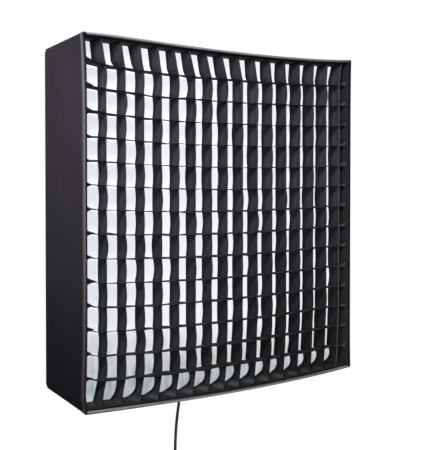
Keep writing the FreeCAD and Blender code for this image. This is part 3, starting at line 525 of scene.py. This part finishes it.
def diffusion_cloth():
    """White cloth with a painted glow for the light from behind, and painted shade that makes it cooler and
    dimmer low down and to the left.
    """
    painted_glow, left_painted_shade, low_painted_shade = (0.90, 0.895, 0.945), (0.73, 0.76, 0.83), (0.41, 0.445, 0.465)
    f = woven("diffusion_cloth", (0.30, 0.30, 0.31), (0.36, 0.36, 0.37), 0.0015, 0.9, 0.05, 0.0001)
    across, _, up = f.axes()
    foot = CENTRE - HALF_H
    # Painted shade: the glow is cooler and dimmer low down and to the left.
    low = f.falling(f.maths("ADD", up, f.times(across, 0.07)), foot + 0.01, foot + 0.12)
    left = f.falling(across, -HALF_W, -HALF_W + 0.2)
    f.put("Emission Color", f.blend(low, f.blend(left, painted_glow, left_painted_shade), low_painted_shade))
    # Painted shade of faint creases in the glow, and a mottle of the weave that shows most low down.
    crease_painted_shade = f.ramp(f.noise(26.0, 3.0, (1, 1, 0.12)), 0.95, 1.03, 0.3, 0.7)
    mottle = f.ramp(f.noise(110.0, 4.0, (1, 1, 0.35)), 0.72, 1.25, 0.3, 0.7)
    uneven = f.add("ShaderNodeMix")
    for socket, value in ((0, low), (2, crease_painted_shade), (3, mottle)):
        f.put(socket, value, uneven)
    f.put("Emission Strength", uneven.outputs[0])
    return f.material


def silver_cloth():
    """Crinkled silver coating."""
    f = Finish("silver_cloth", (0.72, 0.73, 0.74), 0.35, 0.85)
    crinkle = f.maths("ADD", f.cells(160.0, feature="SMOOTH_F1"), f.noise(60.0, 5.0))
    f.put("Roughness", f.ramp(f.noise(25.0), 0.25, 0.5, 0.3, 0.7))
    f.bump(crinkle, 0.0012, 0.7)
    return f.material


def hook_tape():
    """Hook-and-loop tape: a dense field of tiny stalks."""
    f = Finish("hook_tape", (0.012, 0.012, 0.013), 0.9)
    stalks = f.cells(900.0)
    f.put("Base Color", f.blend(stalks, (0.03, 0.03, 0.032), (0.006, 0.006, 0.006)))
    f.bump(stalks, 0.0006, 0.9)
    return f.material


def circuit():
    """White solder mask with pale tracks."""
    f = Finish("circuit", (0.86, 0.86, 0.83), 0.35)
    bricks = f.add("ShaderNodeTexBrick")
    f.put("Vector", f.place, bricks)
    f.put("Scale", 25.0, bricks)
    f.put("Color1", (0.88, 0.88, 0.85, 1), bricks)
    f.put("Color2", (0.84, 0.84, 0.80, 1), bricks)
    f.put("Mortar", (0.72, 0.66, 0.52, 1), bricks)
    f.put("Base Color", bricks.outputs["Color"])
    f.bump(bricks.outputs["Fac"], 0.0001, 0.3)
    return f.material


def phosphor():
    """Yellow phosphor of the light chips, glowing a little and uneven in colour."""
    f = Finish("phosphor", (0.95, 0.75, 0.2), 0.4)
    f.put("Base Color", f.blend(f.noise(700.0), (0.95, 0.72, 0.15), (0.98, 0.88, 0.5)))
    f.put("Emission Color", (1.0, 0.9, 0.7, 1))
    f.put("Emission Strength", 0.4)
    f.bump(f.noise(1500.0), 0.0001, 0.4)
    return f.material


WALL = woven("wall_cloth", (0.0080, 0.0060, 0.0097), (0.0122, 0.0091, 0.0148), 0.0012, 0.75, 0.015,
             0.0002, 0.1).material
STRIP = strip_cloth()
SHADED_LEVEL = shaded_level_cloth()
# Hem cloth painted darker as shade, since little light reaches the hems inside the rim.
SHADED_HEM_CLOTH = woven("shaded_hem_cloth", (0.011, 0.010, 0.0125), (0.020, 0.0183, 0.023), 0.001, 0.85).material
HIGHLIGHTED_TAPE = highlighted_binding_cloth()
PIPING = woven("piping_cloth", (0.009, 0.009, 0.01), (0.018, 0.018, 0.02), 0.0008).material
THREAD = woven("stitch_thread", (0.03, 0.03, 0.032), (0.07, 0.07, 0.075), 0.0006).material
DIFFUSION = diffusion_cloth()
BAFFLE = woven("baffle_cloth", (0.74, 0.75, 0.74), (0.84, 0.84, 0.83), 0.0015, 0.85, 0.1).material
SILVER = silver_cloth()
HOOK = hook_tape()
ELASTIC = woven("elastic", (0.6, 0.6, 0.6), (0.8, 0.8, 0.8), 0.0007, 0.7).material
PANEL = woven("panel_cover", (0.020, 0.020, 0.022), (0.038, 0.038, 0.041), 0.0016, 0.6, 0.1, 0.0003,
              0.4).material
BY_SLOT = {
    "black_fabric": WALL,
    "strip_fabric": STRIP,
    "silver_fabric": SILVER,
    "white_cloth": BAFFLE,
    "binding_tape": HIGHLIGHTED_TAPE,
    "hook_tape": HOOK,
    "elastic": ELASTIC,
    "panel_cover": PANEL,
    "black_metal": metal("black_metal", (0.022, 0.022, 0.024), 0.38, 0.6).material,
    "bare_aluminium": metal("bare_aluminium", (0.62, 0.63, 0.65), 0.32).material,
    "steel": metal("steel", (0.5, 0.5, 0.52), 0.3).material,
    "brass": metal("brass", (0.68, 0.48, 0.2), 0.3).material,
    "black_plastic": plastic("black_plastic", (0.018, 0.018, 0.019)).material,
    "glass_fibre": plastic("glass_fibre", (0.03, 0.03, 0.03), 0.4).material,
    "friction_disc": plastic("friction_disc", (0.7, 0.67, 0.6), 0.45).material,
    "cable_rubber": plastic("cable_rubber", (0.014, 0.014, 0.014), 0.65, 0.0001).material,
    "circuit": circuit(),
    "light_chip": phosphor(),
}
HARD_SLOTS = ("black_plastic", "black_metal", "bare_aluminium", "steel", "brass")


# ---- walls ------------------------------------------------------------------------------
def build_walls():
    """Four cloth walls that roll over the back edge, meeting along the corner seams."""
    stations, roll_steps, least_gap = 16, 5, 0.002
    setbacks = [DEPTH * n / stations for n in range(stations + 1)]
    setbacks = [s for s in setbacks if s < DEPTH - ROUND - least_gap] + [DEPTH - ROUND]
    for side in SIDES:
        rows = []
        for s in setbacks:
            rows.append([hang(x, z, s) for x, z in side_points(side, s, WALL_INSET, corner_radius(s))])
        for n in range(1, roll_steps + 1):
            turn = math.radians(90 * n / roll_steps)
            s = DEPTH - ROUND + ROUND * math.sin(turn)
            inset = WALL_INSET + ROUND * (1 - math.cos(turn))
            rows.append([hang(x, z, s) for x, z in side_points(side, s, inset, REAR_CORNER)])
        verts = [p for row in rows for p in row]
        faces = [face[::-1] for face in lattice(len(rows), len(rows[0]))]
        wall = piece("wall_" + side + "_cloth", verts, faces, "lamp", WALL,
                     nodes=("wall_" + side,), slot="black_fabric")
        thicken(wall, WALL_GAUGE, offset=-1)


def build_seams():
    """Piping along the four corner seams and round the back."""
    behind_tape = 0.009
    corner_piping, rear_piping = 0.0014, 0.0012
    steps = 12
    cut_corner = 0.29       # a rounded corner lies this share of its radius inside the sharp one
    parts = []
    for x_sign in (-1, 1):
        for z_sign in (-1, 1):
            line = []
            for n in range(steps + 1):
                s = behind_tape + (DEPTH - ROUND - behind_tape) * n / steps
                w, h = spans(s)
                inside = cut_corner * corner_radius(s) + 0.0002
                line.append(settle(x_sign * (w - inside), z_sign * (h - inside), s))
            parts.append(tube(line, corner_piping))
    piece("corner_seam_piping", *merged(parts), "lamp", PIPING, slot="black_fabric", closed=True)
    setback = DEPTH - 0.0020
    loop = [settle(x, z, setback) for x, z in loop_points(setback, 0.0014, REAR_CORNER)]
    piece("rear_seam_piping", *tube(loop, rear_piping, closed=True), "lamp", PIPING,
          slot="black_fabric", closed=True)


def build_binding():
    """Tape folded over the front edge, with its line of stitches."""
    # Inset and setback of the fold: outer leaf, front, inner leaf, and back along the inside.
    profile = [(-0.0008, 0.0095), (-0.0016, 0.0080), (-0.0020, 0.0050), (-0.0020, 0.0020),
               (-0.0016, 0.0004), (-0.0008, -0.0006), (0.0003, -0.0012), (0.0014, -0.0012),
               (0.0023, -0.0007), (0.0028, 0.0005), (0.0028, 0.009), (0.0021, 0.0092),
               (0.0021, 0.0016), (-0.0001, 0.0016), (-0.0001, 0.0096)]
    rim_sweep("front_binding_tape", profile, "lamp", HIGHLIGHTED_TAPE, nodes=("front_binding",),
              slot="binding_tape")
    setback, inset, corner = 0.0078, -0.0018, 0.0025
    pitch, length, radius = 0.005, 0.0033, 0.00028
    run = resampled([settle(x, z, setback) for x, z in loop_points(setback, inset, corner)], pitch)
    beads = []
    for p, forward in run:
        half = forward * length / 2
        beads.append(tube([p - half, p - half * 0.6, p + half * 0.6, p + half], radius, 5))
    piece("binding_stitches", *merged(beads), "lamp", THREAD, slot="binding_tape", closed=True)


def resampled(points, step):
    """Evenly spaced points round a closed run."""
    result = []
    carry = 0.0
    count = len(points)
    for n in range(count):
        a, b = points[n], points[(n + 1) % count]
        length = (b - a).length
        at = carry
        while at < length:
            result.append((a.lerp(b, at / length), (b - a).normalized()))
            at += step
        carry = at - length
    return result


def build_bands():
    """Lining, hook band and the hems of the diffuser and the grid."""
    low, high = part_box("wall_lining")
    first, last = low.y - FRONT, high.y - FRONT
    steps = 12
    outer, inner = 0.0021, 0.0027
    outside = [(outer, first + (last - first) * n / steps) for n in range(steps + 1)]
    inside = [(inner, s) for _, s in reversed(outside)]
    rim_sweep("silver_lining", outside + inside, "lamp", SILVER, shape=hang, nodes=("wall_lining",),
              slot="silver_fabric")
    band("rim_hook_tape", "rim_hook_band", 0.0021, 0.0029, "lamp", HOOK, "hook_tape")
    band("diffuser_hem", "diffuser_border", 0.0031, 0.0056, "diffuser", SHADED_HEM_CLOTH, "hook_tape")
    band("grid_hem", "grid_border", 0.0031, 0.0058, "grid", SHADED_HEM_CLOTH, "strip_fabric", near_hem)


def near_hem(x, z, setback):
    """The grid hem, pulled in a little along the near side."""
    pull = 0.0017
    w, _ = spans(setback)
    inner = clamped((w + x - 0.0045) / 0.001) * clamped((0.03 - w - x) / 0.02)
    return settle(x + pull * inner, z, setback)


def band(name, node, outer, inner, body, finish, slot, shape=settle):
    """Flat hem round the inside of the rim, in the place of a CAD frame."""
    low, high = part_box(node)
    first, last = low.y - FRONT, high.y - FRONT
    profile = [(outer, first), (outer, last), (inner, last), (inner, first)]
    rim_sweep(name, profile, body, finish, shape=shape, nodes=(node,), slot=slot)


# ---- diffuser and grid --------------------------------------------------------------------
def cloth_sheet(name, node, inset, clip, body, finish, slot, wave):
    """Cloth stretched across the box, with clipped corners if asked."""
    low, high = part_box(node)
    setback = (low.y + high.y) / 2 - FRONT
    w, h = spans(setback)
    w, h = w - inset, h - inset

    def point(u, v):
        x, z = (2 * u - 1) * w, (2 * v - 1) * h
        over = abs(x) + abs(z) - (w + h - clip)
        if clip and over > 0:
            x -= math.copysign(over / 2, x)
            z -= math.copysign(over / 2, z)
        p = settle(x, z, setback)
        free = (1 - (2 * u - 1) ** 8) * (1 - (2 * v - 1) ** 8)
        p.y += wave * free * noise.noise(Vector((x * 14, 2.0, z * 3)))
        return p

    steps = 72
    sheet(name, point, steps, steps, body, finish, 0.0008, nodes=(node,), slot=slot)


def build_grid():
    """Interlocking cloth strips, pulled to the right in the middle and wavy between crossings."""
    first_x, pitch_x, crowding = 0.015, 0.0389, 0.0062
    first_z, pitch_z = 0.0080, 0.0423
    rng = random.Random(11)
    low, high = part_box("grid_border")
    start, depth = low.y - FRONT, high.y - low.y
    w, h = spans(start)
    lines_x = [-w + first_x + pitch_x * n - crowding * math.exp((1 - n) / 2.2) for n in range(1, COLUMNS)]
    lines_z = [h - first_z - pitch_z * n for n in range(1, ROWS)]
    build_upright_strips(rng, lines_x, [h - HEM] + lines_z + [-h + HEM], start, depth)
    build_level_strips(rng, lines_z, [-w + HEM] + lines_x + [w - HEM], start, depth)


def build_upright_strips(rng, lines, knots, start, depth):
    """Upright strips at their lines, with random bows between the knots they pass."""
    parts = []
    for n in range(1, COLUMNS):
        mean = 0.0012 - 0.0004 * n / COLUMNS
        bows = [(rng.gauss(mean, 0.0010), rng.gauss(mean, 0.0012)) for _ in knots]
        parts.append(upright_strip(n, lines[n - 1], knots, start, depth, bows))
    strips = piece("grid_upright_strips", *merged(parts), "grid", STRIP,
                   nodes=("grid_vertical_strips",), slot="strip_fabric")
    thicken(strips, 0.0011)


def build_level_strips(rng, lines, knots, start, depth):
    """Level strips with random bows, and their folded ends on the hems."""
    tab_lengths, tab_heights = (0.012, 0.024), (0.010, 0.018)
    _, h = spans(start)
    parts = []
    tabs = []
    for row in range(1, ROWS):
        even = h - HEM - (2 * h - 2 * HEM) * row / ROWS
        bows = [(rng.gauss(0, 0.0007), rng.gauss(0, 0.0009)) for _ in knots]
        parts.append(level_strip(even, lines[row - 1], near_end(row), knots, start, depth, bows))
        for side, raised in ((-1, near_end(row)), (1, 0)):
            length, height = rng.uniform(*tab_lengths), rng.uniform(*tab_heights)
            tabs.append(folded_end(side, even + raised, start, length, height))
    strips = piece("grid_level_strips", *merged(parts), "grid", SHADED_LEVEL,
                   nodes=("grid_horizontal_strips",), slot="strip_fabric")
    thicken(strips, 0.0008)
    piece("grid_strip_ends", *merged(tabs), "grid", SHADED_LEVEL, slot="strip_fabric", closed=True)


def held(along, reach):
    """0 where a strip is sewn to the hem, 1 from the first crossing on."""
    return eased((reach - HEM - abs(along)) / 0.040)


def top_lean(n, t):
    """Front and rear shift of strip n above its first crossing, t from there (0) to the hem (1)."""
    kink = eased(t / 0.2)
    at_crossing = 0.0045 + 0.0065 * clamped(3 - n)
    at_hem = 0.006 + 0.009 * clamped((5 - n) / 2)
    swing = 0.0025 * max(0, n - 8) - 0.0065 * clamped((n - 4) / 2)
    front = -0.001 * kink + (swing - 0.0065) * t
    return front, swing * t - kink * (at_crossing + (at_hem - at_crossing) * t)


def bottom_lean(n, t):
    """Front and rear shift of strip n below its last crossing, t from there (0) to the hem (1)."""
    late = clamped((n - 1) / 4)
    lean = 0.0095 - 0.0030 * clamped((n - 4) / 4) - 0.0025 * clamped((n - 9) / 3)
    swell = 0.009 * clamped((n - 2) / 4) * math.sin(math.pi * min(1.0, t / 0.92))
    fold = min(0.026, (0.012 + 0.028 * late) * t ** (1.5 + 8 * late))
    return -lean * t ** 1.1, swell - fold


def slump(n, z):
    """Shift to the left of the far strips in the lowest rows."""
    return -0.0045 * clamped((n - 6) / 3) * clamped((-z / HALF_H - 0.6) / 0.25)


def ribbon_point(x, z, start, setback):
    """A point of a strip, drawn in with the taper of the box near its edge."""
    w0, h0 = spans(start)
    w, h = spans(setback)
    return settle(x * w / w0, z * (1 + (h / h0 - 1) * abs(z / h0) ** 3), setback)


def upright_strip(n, line, knots, start, depth, bows, steps=8):
    """One upright ribbon: bowed between crossings, and leaning where it meets the hems."""
    last_shift = 0.0016     # the rear edge of the last strip stands a little further right
    verts = []
    cells = len(knots) - 1
    rows = cells * steps + 1
    for row in range(rows):
        cell = min(cells - 1, row // steps)
        t = row / steps - cell
        z = knots[cell] + (knots[cell + 1] - knots[cell]) * t
        if cell == 0:
            front, rear = top_lean(n, 1 - t)
        elif cell == cells - 1:
            front, rear = bottom_lean(n, t)
        else:
            front, rear = (math.sin(math.pi * t) * bow for bow in bows[cell])
        if n == COLUMNS - 1:
            rear += last_shift
        x = line + slump(n, z)
        for deep in ACROSS_STRIP:
            verts.append(ribbon_point(x + front + (rear - front) * deep, z, start, start + depth * deep))
    return verts, lattice(rows, len(ACROSS_STRIP))


def near_end(row):
    """How far above its even place a level strip is sewn to the near hem."""
    return 0.0085 * clamped((row - 7) / 6) - 0.004 * math.exp(-((row - 4) / 1.8) ** 2)


def level_strip(sewn, crossed, raised, knots, start, depth, bows, steps=6):
    """One level ribbon, sewn to the hems at one height and crossing the others at another."""
    dip, dip_x, dip_width = 0.003, -0.17, 0.13      # upper rows hang lower left of the middle
    rear_drop = 0.0032                              # lower rows tip down at the rear
    verts = []
    reach = knots[-1] + HEM
    cells = len(knots) - 1
    rows = cells * steps + 1
    for row in range(rows):
        cell = min(cells - 1, row // steps)
        t = row / steps - cell
        x = knots[cell] + (knots[cell + 1] - knots[cell]) * t
        end = sewn + (raised if x < 0 else 0)
        z = end + (crossed - end) * held(x, reach)
        z -= dip * clamped((z / HALF_H - 0.2) / 0.5) * math.exp(-((x - dip_x) / dip_width) ** 2)
        front, rear = (math.sin(math.pi * t) * bow for bow in bows[cell])
        rear -= rear_drop * clamped(-z / 0.2)
        for deep in ACROSS_STRIP:
            verts.append(ribbon_point(x, z + front + (rear - front) * deep, start, start + depth * deep))
    return verts, lattice(rows, len(ACROSS_STRIP))


def folded_end(side, z, start, length, height):
    """The folded end of a level strip, sewn to the hem."""
    x = side * (spans(start)[0] - HEM)
    outline = ((0, 0.5), (0.35, 0.25), (1, 0), (0.35, -0.25), (0, -0.5))
    verts = []
    for setback in (start + 0.0005, start + 0.006):
        for along, up in outline:
            verts.append(ribbon_point(x - side * length * along, z + height * up, start, setback))
    count = len(outline)
    faces = [tuple(range(count)), tuple(range(2 * count - 1, count - 1, -1))]
    for n in range(count):
        m = (n + 1) % count
        faces.append((n, m, m + count, n + count))
    return verts, faces


# ---- back of the lamp ---------------------------------------------------------------------
def build_back():
    """Flaps, hook strips, padded panel cover and the elastic tabs of the baffle."""
    for side in SIDES:
        build_flap(side)
    build_panel_cover()
    build_hook_strips()
    build_elastics()


def build_flap(side):
    """One flap, sewn to the wall, mitred and rippled towards its free edge."""
    width, mitre, end_gap, wall_gap = 0.0370, 0.040, 0.022, 0.0040
    sunk, rise, ripple = 0.0008, 0.0006, 0.0012
    upright, sign = bearing(side)
    reach = (REAR_H if upright else REAR_W) - end_gap
    edge = (REAR_W if upright else REAR_H) - wall_gap

    def point(u, v):
        along = (2 * u - 1) * (reach - mitre * v)
        out = sign * (edge - v * width)
        lift = rise + ripple * noise.noise(Vector((along * 12, v * 2, sign))) * v
        x, z = (out, along) if upright else (along, out)
        return Vector((x, REAR - sunk + lift, CENTRE + z))

    sheet("flap_" + side, point, 40, 8, "lamp", WALL, 0.0014, slot="black_fabric",
          nodes=("rear_flaps",))


def on_seam(x, z, half):
    """Whether a point of the cover is sewn down: on a quilting line, or under the hook tapes."""
    line_width, tape_width = 0.0035, 0.029
    lines = [abs(p / QUILT - round(p / QUILT)) * QUILT < line_width for p in (x, z)]
    return any(lines) or max(abs(x), abs(z)) > half - tape_width


def puffed(flat, half, highest=0.0024, frames=20):
    """Heights of the padded cover, blown out by a cloth simulation held down along its seams."""
    side = round(math.sqrt(len(flat)))
    mesh = bpy.data.meshes.new("cover_trial")
    mesh.from_pydata([(x, 0, z) for x, z in flat], [], lattice(side, side))
    trial = bpy.data.objects.new("cover_trial", mesh)
    scene = bpy.context.scene
    scene.collection.objects.link(trial)
    seams = trial.vertex_groups.new(name="seams")
    seams.add([n for n, (x, z) in enumerate(flat) if on_seam(x, z, half)], 1.0, "ADD")
    cloth = trial.modifiers.new("cloth", "CLOTH")
    cloth.settings.quality = 4
    cloth.settings.vertex_group_mass = "seams"
    cloth.settings.use_pressure = True
    cloth.settings.uniform_pressure_force = 4.0
    cloth.settings.shrink_min = -0.004
    cloth.settings.effector_weights.gravity = 0.0
    cloth.collision_settings.use_collision = False
    cloth.point_cache.frame_start = 1
    cloth.point_cache.frame_end = frames
    for frame_number in range(1, frames + 1):
        scene.frame_set(frame_number)
    blown = trial.evaluated_get(bpy.context.evaluated_depsgraph_get()).to_mesh()
    heights = [min(highest, abs(v.co.y)) for v in blown.vertices]
    scene.frame_set(1)
    bpy.data.objects.remove(trial)
    return heights


def build_panel_cover():
    """Padded cover of the light panel: quilted at the back, bound round its edge."""
    low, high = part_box("panel_backing")
    half = (high.x - low.x) / 2 - PANEL_EDGE
    count = 120
    padding, sunk = 0.0015, 0.0011
    places = [(2 * n / count - 1) * half for n in range(count + 1)]
    flat = [(x, z) for z in places for x in places]
    heights = puffed(flat, half)
    verts = [Vector((x, high.y - sunk + up, CENTRE + z)) for (x, z), up in zip(flat, heights)]
    verts += [Vector((x, low.y, CENTRE + z)) for x, z in flat]
    piece("panel_cover", verts, shell_faces(count + 1, count + 1), "lamp", PANEL,
          nodes=("panel_backing",), slot="panel_cover", closed=True)
    corners = [Vector((x * half, (low.y + high.y) / 2, CENTRE + z * half))
               for x, z in ((1, 1), (-1, 1), (-1, -1), (1, -1))]
    steps = 24
    run = []
    for n, corner in enumerate(corners):
        run += [corner.lerp(corners[(n + 1) % 4], m / steps) for m in range(steps)]
    piece("panel_edge_binding", *tube(run, 0.0017, closed=True), "lamp", PIPING, slot="panel_cover",
          closed=True)


def build_hook_strips():
    """Hook tapes sewn on the back of the panel, with a napped surface."""
    rows, columns = 7, 61
    width, corner = 0.026, 0.048
    sunk, nap = 0.0002, 0.0001
    low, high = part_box("hook_strips")
    reach = (high.x - low.x) / 2
    span = REAR_H - FLAP_INSET - corner
    shells = []
    for side in SIDES:
        upright, sign = bearing(side)
        napped, plain = [], []
        for r in range(rows):
            for c in range(columns):
                along = (2 * c / (columns - 1) - 1) * span
                out = sign * (reach - width * r / (rows - 1))
                x, z = (out, along) if upright else (along, out)
                napped.append(Vector((x, high.y - sunk + nap * math.sin(c * 2.4 + r), CENTRE + z)))
                plain.append(Vector((x, low.y + sunk, CENTRE + z)))
        shells.append((napped + plain, shell_faces(rows, columns)))
    piece("hook_tapes", *merged(shells), "lamp", HOOK, nodes=("hook_strips",), slot="hook_tape",
          closed=True)


def build_elastics():
    """Short elastic tabs, narrowed in the middle, that hold the baffle to the walls."""
    low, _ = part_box("baffle_straps")
    half_gauge = 0.0004
    setback = low.y - FRONT + 0.0005
    length, half_width, waist, lining = 0.026, 0.01, 0.22, 0.0028
    steps = 8
    w, h = spans(setback)
    parts = []
    for side in SIDES:
        upright, sign = bearing(side)
        wall = (w if upright else h) - lining
        for middle in (-0.18, 0.18):
            verts = []
            for r in range(steps + 1):
                t = r / steps
                out = sign * (wall - length * t)
                narrow = half_width * (1 - waist * math.sin(math.pi * t))
                for across, lift in ((-1, -1), (1, -1), (1, 1), (-1, 1)):
                    along = middle + across * narrow
                    p = settle(*((out, along) if upright else (along, out)), setback)
                    p.y += lift * half_gauge
                    verts.append(p)
            ends = [(3, 2, 1, 0), tuple(range(4 * steps, 4 * steps + 4))]
            parts.append((verts, lattice(steps + 1, 4, wrap_columns=True) + ends))
    piece("baffle_elastics", *merged(parts), "lamp", ELASTIC, nodes=("baffle_straps",),
          slot="elastic", closed=True)


def finish_nodes():
    """Finish for every CAD node, and a softened edge on hard ones."""
    slots = {part["node"]: part["material_slot"] for part in frame["record"]["subparts"]}
    for name, obj in frame["nodes"].items():
        finish = BY_SLOT[slots[name]]
        if not obj.material_slots:
            obj.data.materials.append(finish)
        for place in obj.material_slots:
            place.material = finish
        if slots[name] in HARD_SLOTS:
            bevel = obj.modifiers.new("edge", "BEVEL")
            bevel.width = 0.0004
            bevel.segments = 2
            bevel.limit_method = "ANGLE"
            bevel.angle_limit = math.radians(35)


# ---- stage --------------------------------------------------------------------------------
def build_stage():
    """White surroundings, soft lights and the camera."""
    bpy.context.scene.view_settings.view_transform = "Standard"
    build_floor()
    build_world()
    lamp("key", (-0.9, -1.15, 1.05), 0.5, 30, (0.0, -0.3, 0.3))
    lamp("edge", (-0.86, -0.45, 0.78), 0.3, 3, (-0.33, -0.26, 0.35))
    lamp("underside", (-0.1, -0.6, -0.8), 0.5, 4, (-0.1, -0.33, -0.24))
    wall_spot()
    lamp("fill", (2.0, 2.2, 1.6), 2.0, 75, (0, -0.25, 0.1))
    build_camera()


def build_floor():
    """Floor that curves up behind, white to the camera and grey to the light."""
    level, near, far, half_width, top, bend = -1.2, -8, 6, 14, 9, 3
    steps = 8
    profile = [(near, level), (far, level)]
    for n in range(steps + 1):
        turn = math.radians(90 * n / steps)
        profile.append((far + bend * math.sin(turn), level + bend * (1 - math.cos(turn))))
    profile.append((far + bend, top))
    verts = [Vector((x, y, z)) for y, z in profile for x in (-half_width, half_width)]
    mesh = bpy.data.meshes.new("floor")
    mesh.from_pydata(verts, [], lattice(len(profile), 2))
    floor = bpy.data.objects.new("floor", mesh)
    bpy.context.scene.collection.objects.link(floor)
    paint = Finish("floor_paint", (0.2, 0.2, 0.2), 0.9)
    paint.put("Emission Color", (1, 1, 1, 1))
    paint.put("Emission Strength", paint.add("ShaderNodeLightPath").outputs["Is Camera Ray"])
    floor.data.materials.append(paint.material)


def build_world():
    """World that is white to the camera and gives only a dim, cool light."""
    world = bpy.data.worlds.new("studio")
    bpy.context.scene.world = world
    world.use_nodes = True
    tree = world.node_tree
    sky = tree.nodes["Background"]
    sky.inputs["Color"].default_value = (0.95, 0.97, 1.0, 1)
    sky.inputs["Strength"].default_value = 0.06
    seen = tree.nodes.new("ShaderNodeBackground")
    seen.inputs["Color"].default_value = (1, 1, 1, 1)
    seen.inputs["Strength"].default_value = 1.0
    path = tree.nodes.new("ShaderNodeLightPath")
    mix = tree.nodes.new("ShaderNodeMixShader")
    tree.links.new(path.outputs["Is Camera Ray"], mix.inputs[0])
    tree.links.new(sky.outputs[0], mix.inputs[1])
    tree.links.new(seen.outputs[0], mix.inputs[2])
    tree.links.new(mix.outputs[0], tree.nodes["World Output"].inputs[0])


def aim(obj, direction):
    """Turn a light or a camera to look along a direction."""
    obj.rotation_mode = "QUATERNION"
    obj.rotation_quaternion = direction.to_track_quat("-Z", "Y")


def light_object(name, kind, position, target, power):
    """A light that the camera doesn't see, and its settings."""
    data = bpy.data.lights.new(name, kind)
    data.energy = power
    light = bpy.data.objects.new(name, data)
    bpy.context.scene.collection.objects.link(light)
    light.visible_camera = False
    light.location = position
    aim(light, Vector(target) - Vector(position))
    return data


def lamp(name, position, side, power, target):
    """Square soft light."""
    light_object(name, "AREA", position, target, power).size = side


def wall_spot():
    """Soft-edged spot from the side that leaves the foot of the near wall in shade."""
    data = light_object("wall_spot", "SPOT", (-1.6, -0.25, 0.6), (-0.33, -0.26, 0.30), 130)
    data.shadow_soft_size = 0.1
    data.spot_size = math.radians(40)
    data.spot_blend = 1.0


def build_camera():
    """Camera to the left of the box, almost level with it."""
    yaw, tip = math.radians(39.9), math.radians(1.25)
    aside, raised, away = 0.0326, 0.0553, 1.8628
    right = Vector((math.cos(yaw), -math.sin(yaw), 0))
    level = Vector((math.sin(yaw), math.cos(yaw), 0))
    data = bpy.data.cameras.new("camera")
    data.sensor_fit = "AUTO"
    data.sensor_width = 36
    data.lens = 78.08
    data.shift_y = -1 / 30
    camera = bpy.data.objects.new("camera", data)
    bpy.context.scene.collection.objects.link(camera)
    bpy.context.scene.camera = camera
    target = Vector((0, FRONT, CENTRE))
    camera.location = target - right * aside - level * away + Vector((0, 0, raised))
    aim(camera, level * math.cos(tip) - Vector((0, 0, math.sin(tip))))


finish_nodes()
build_walls()
build_seams()
build_binding()
build_bands()
cloth_sheet("diffuser_cloth", "front_diffuser", 0.0043, 0, "diffuser", DIFFUSION, "white_cloth", 0.0016)
cloth_sheet("baffle_cloth", "inner_baffle", 0.020, 0.040, "lamp", BAFFLE, "white_cloth", 0.002)
build_grid()
build_back()
build_stage()
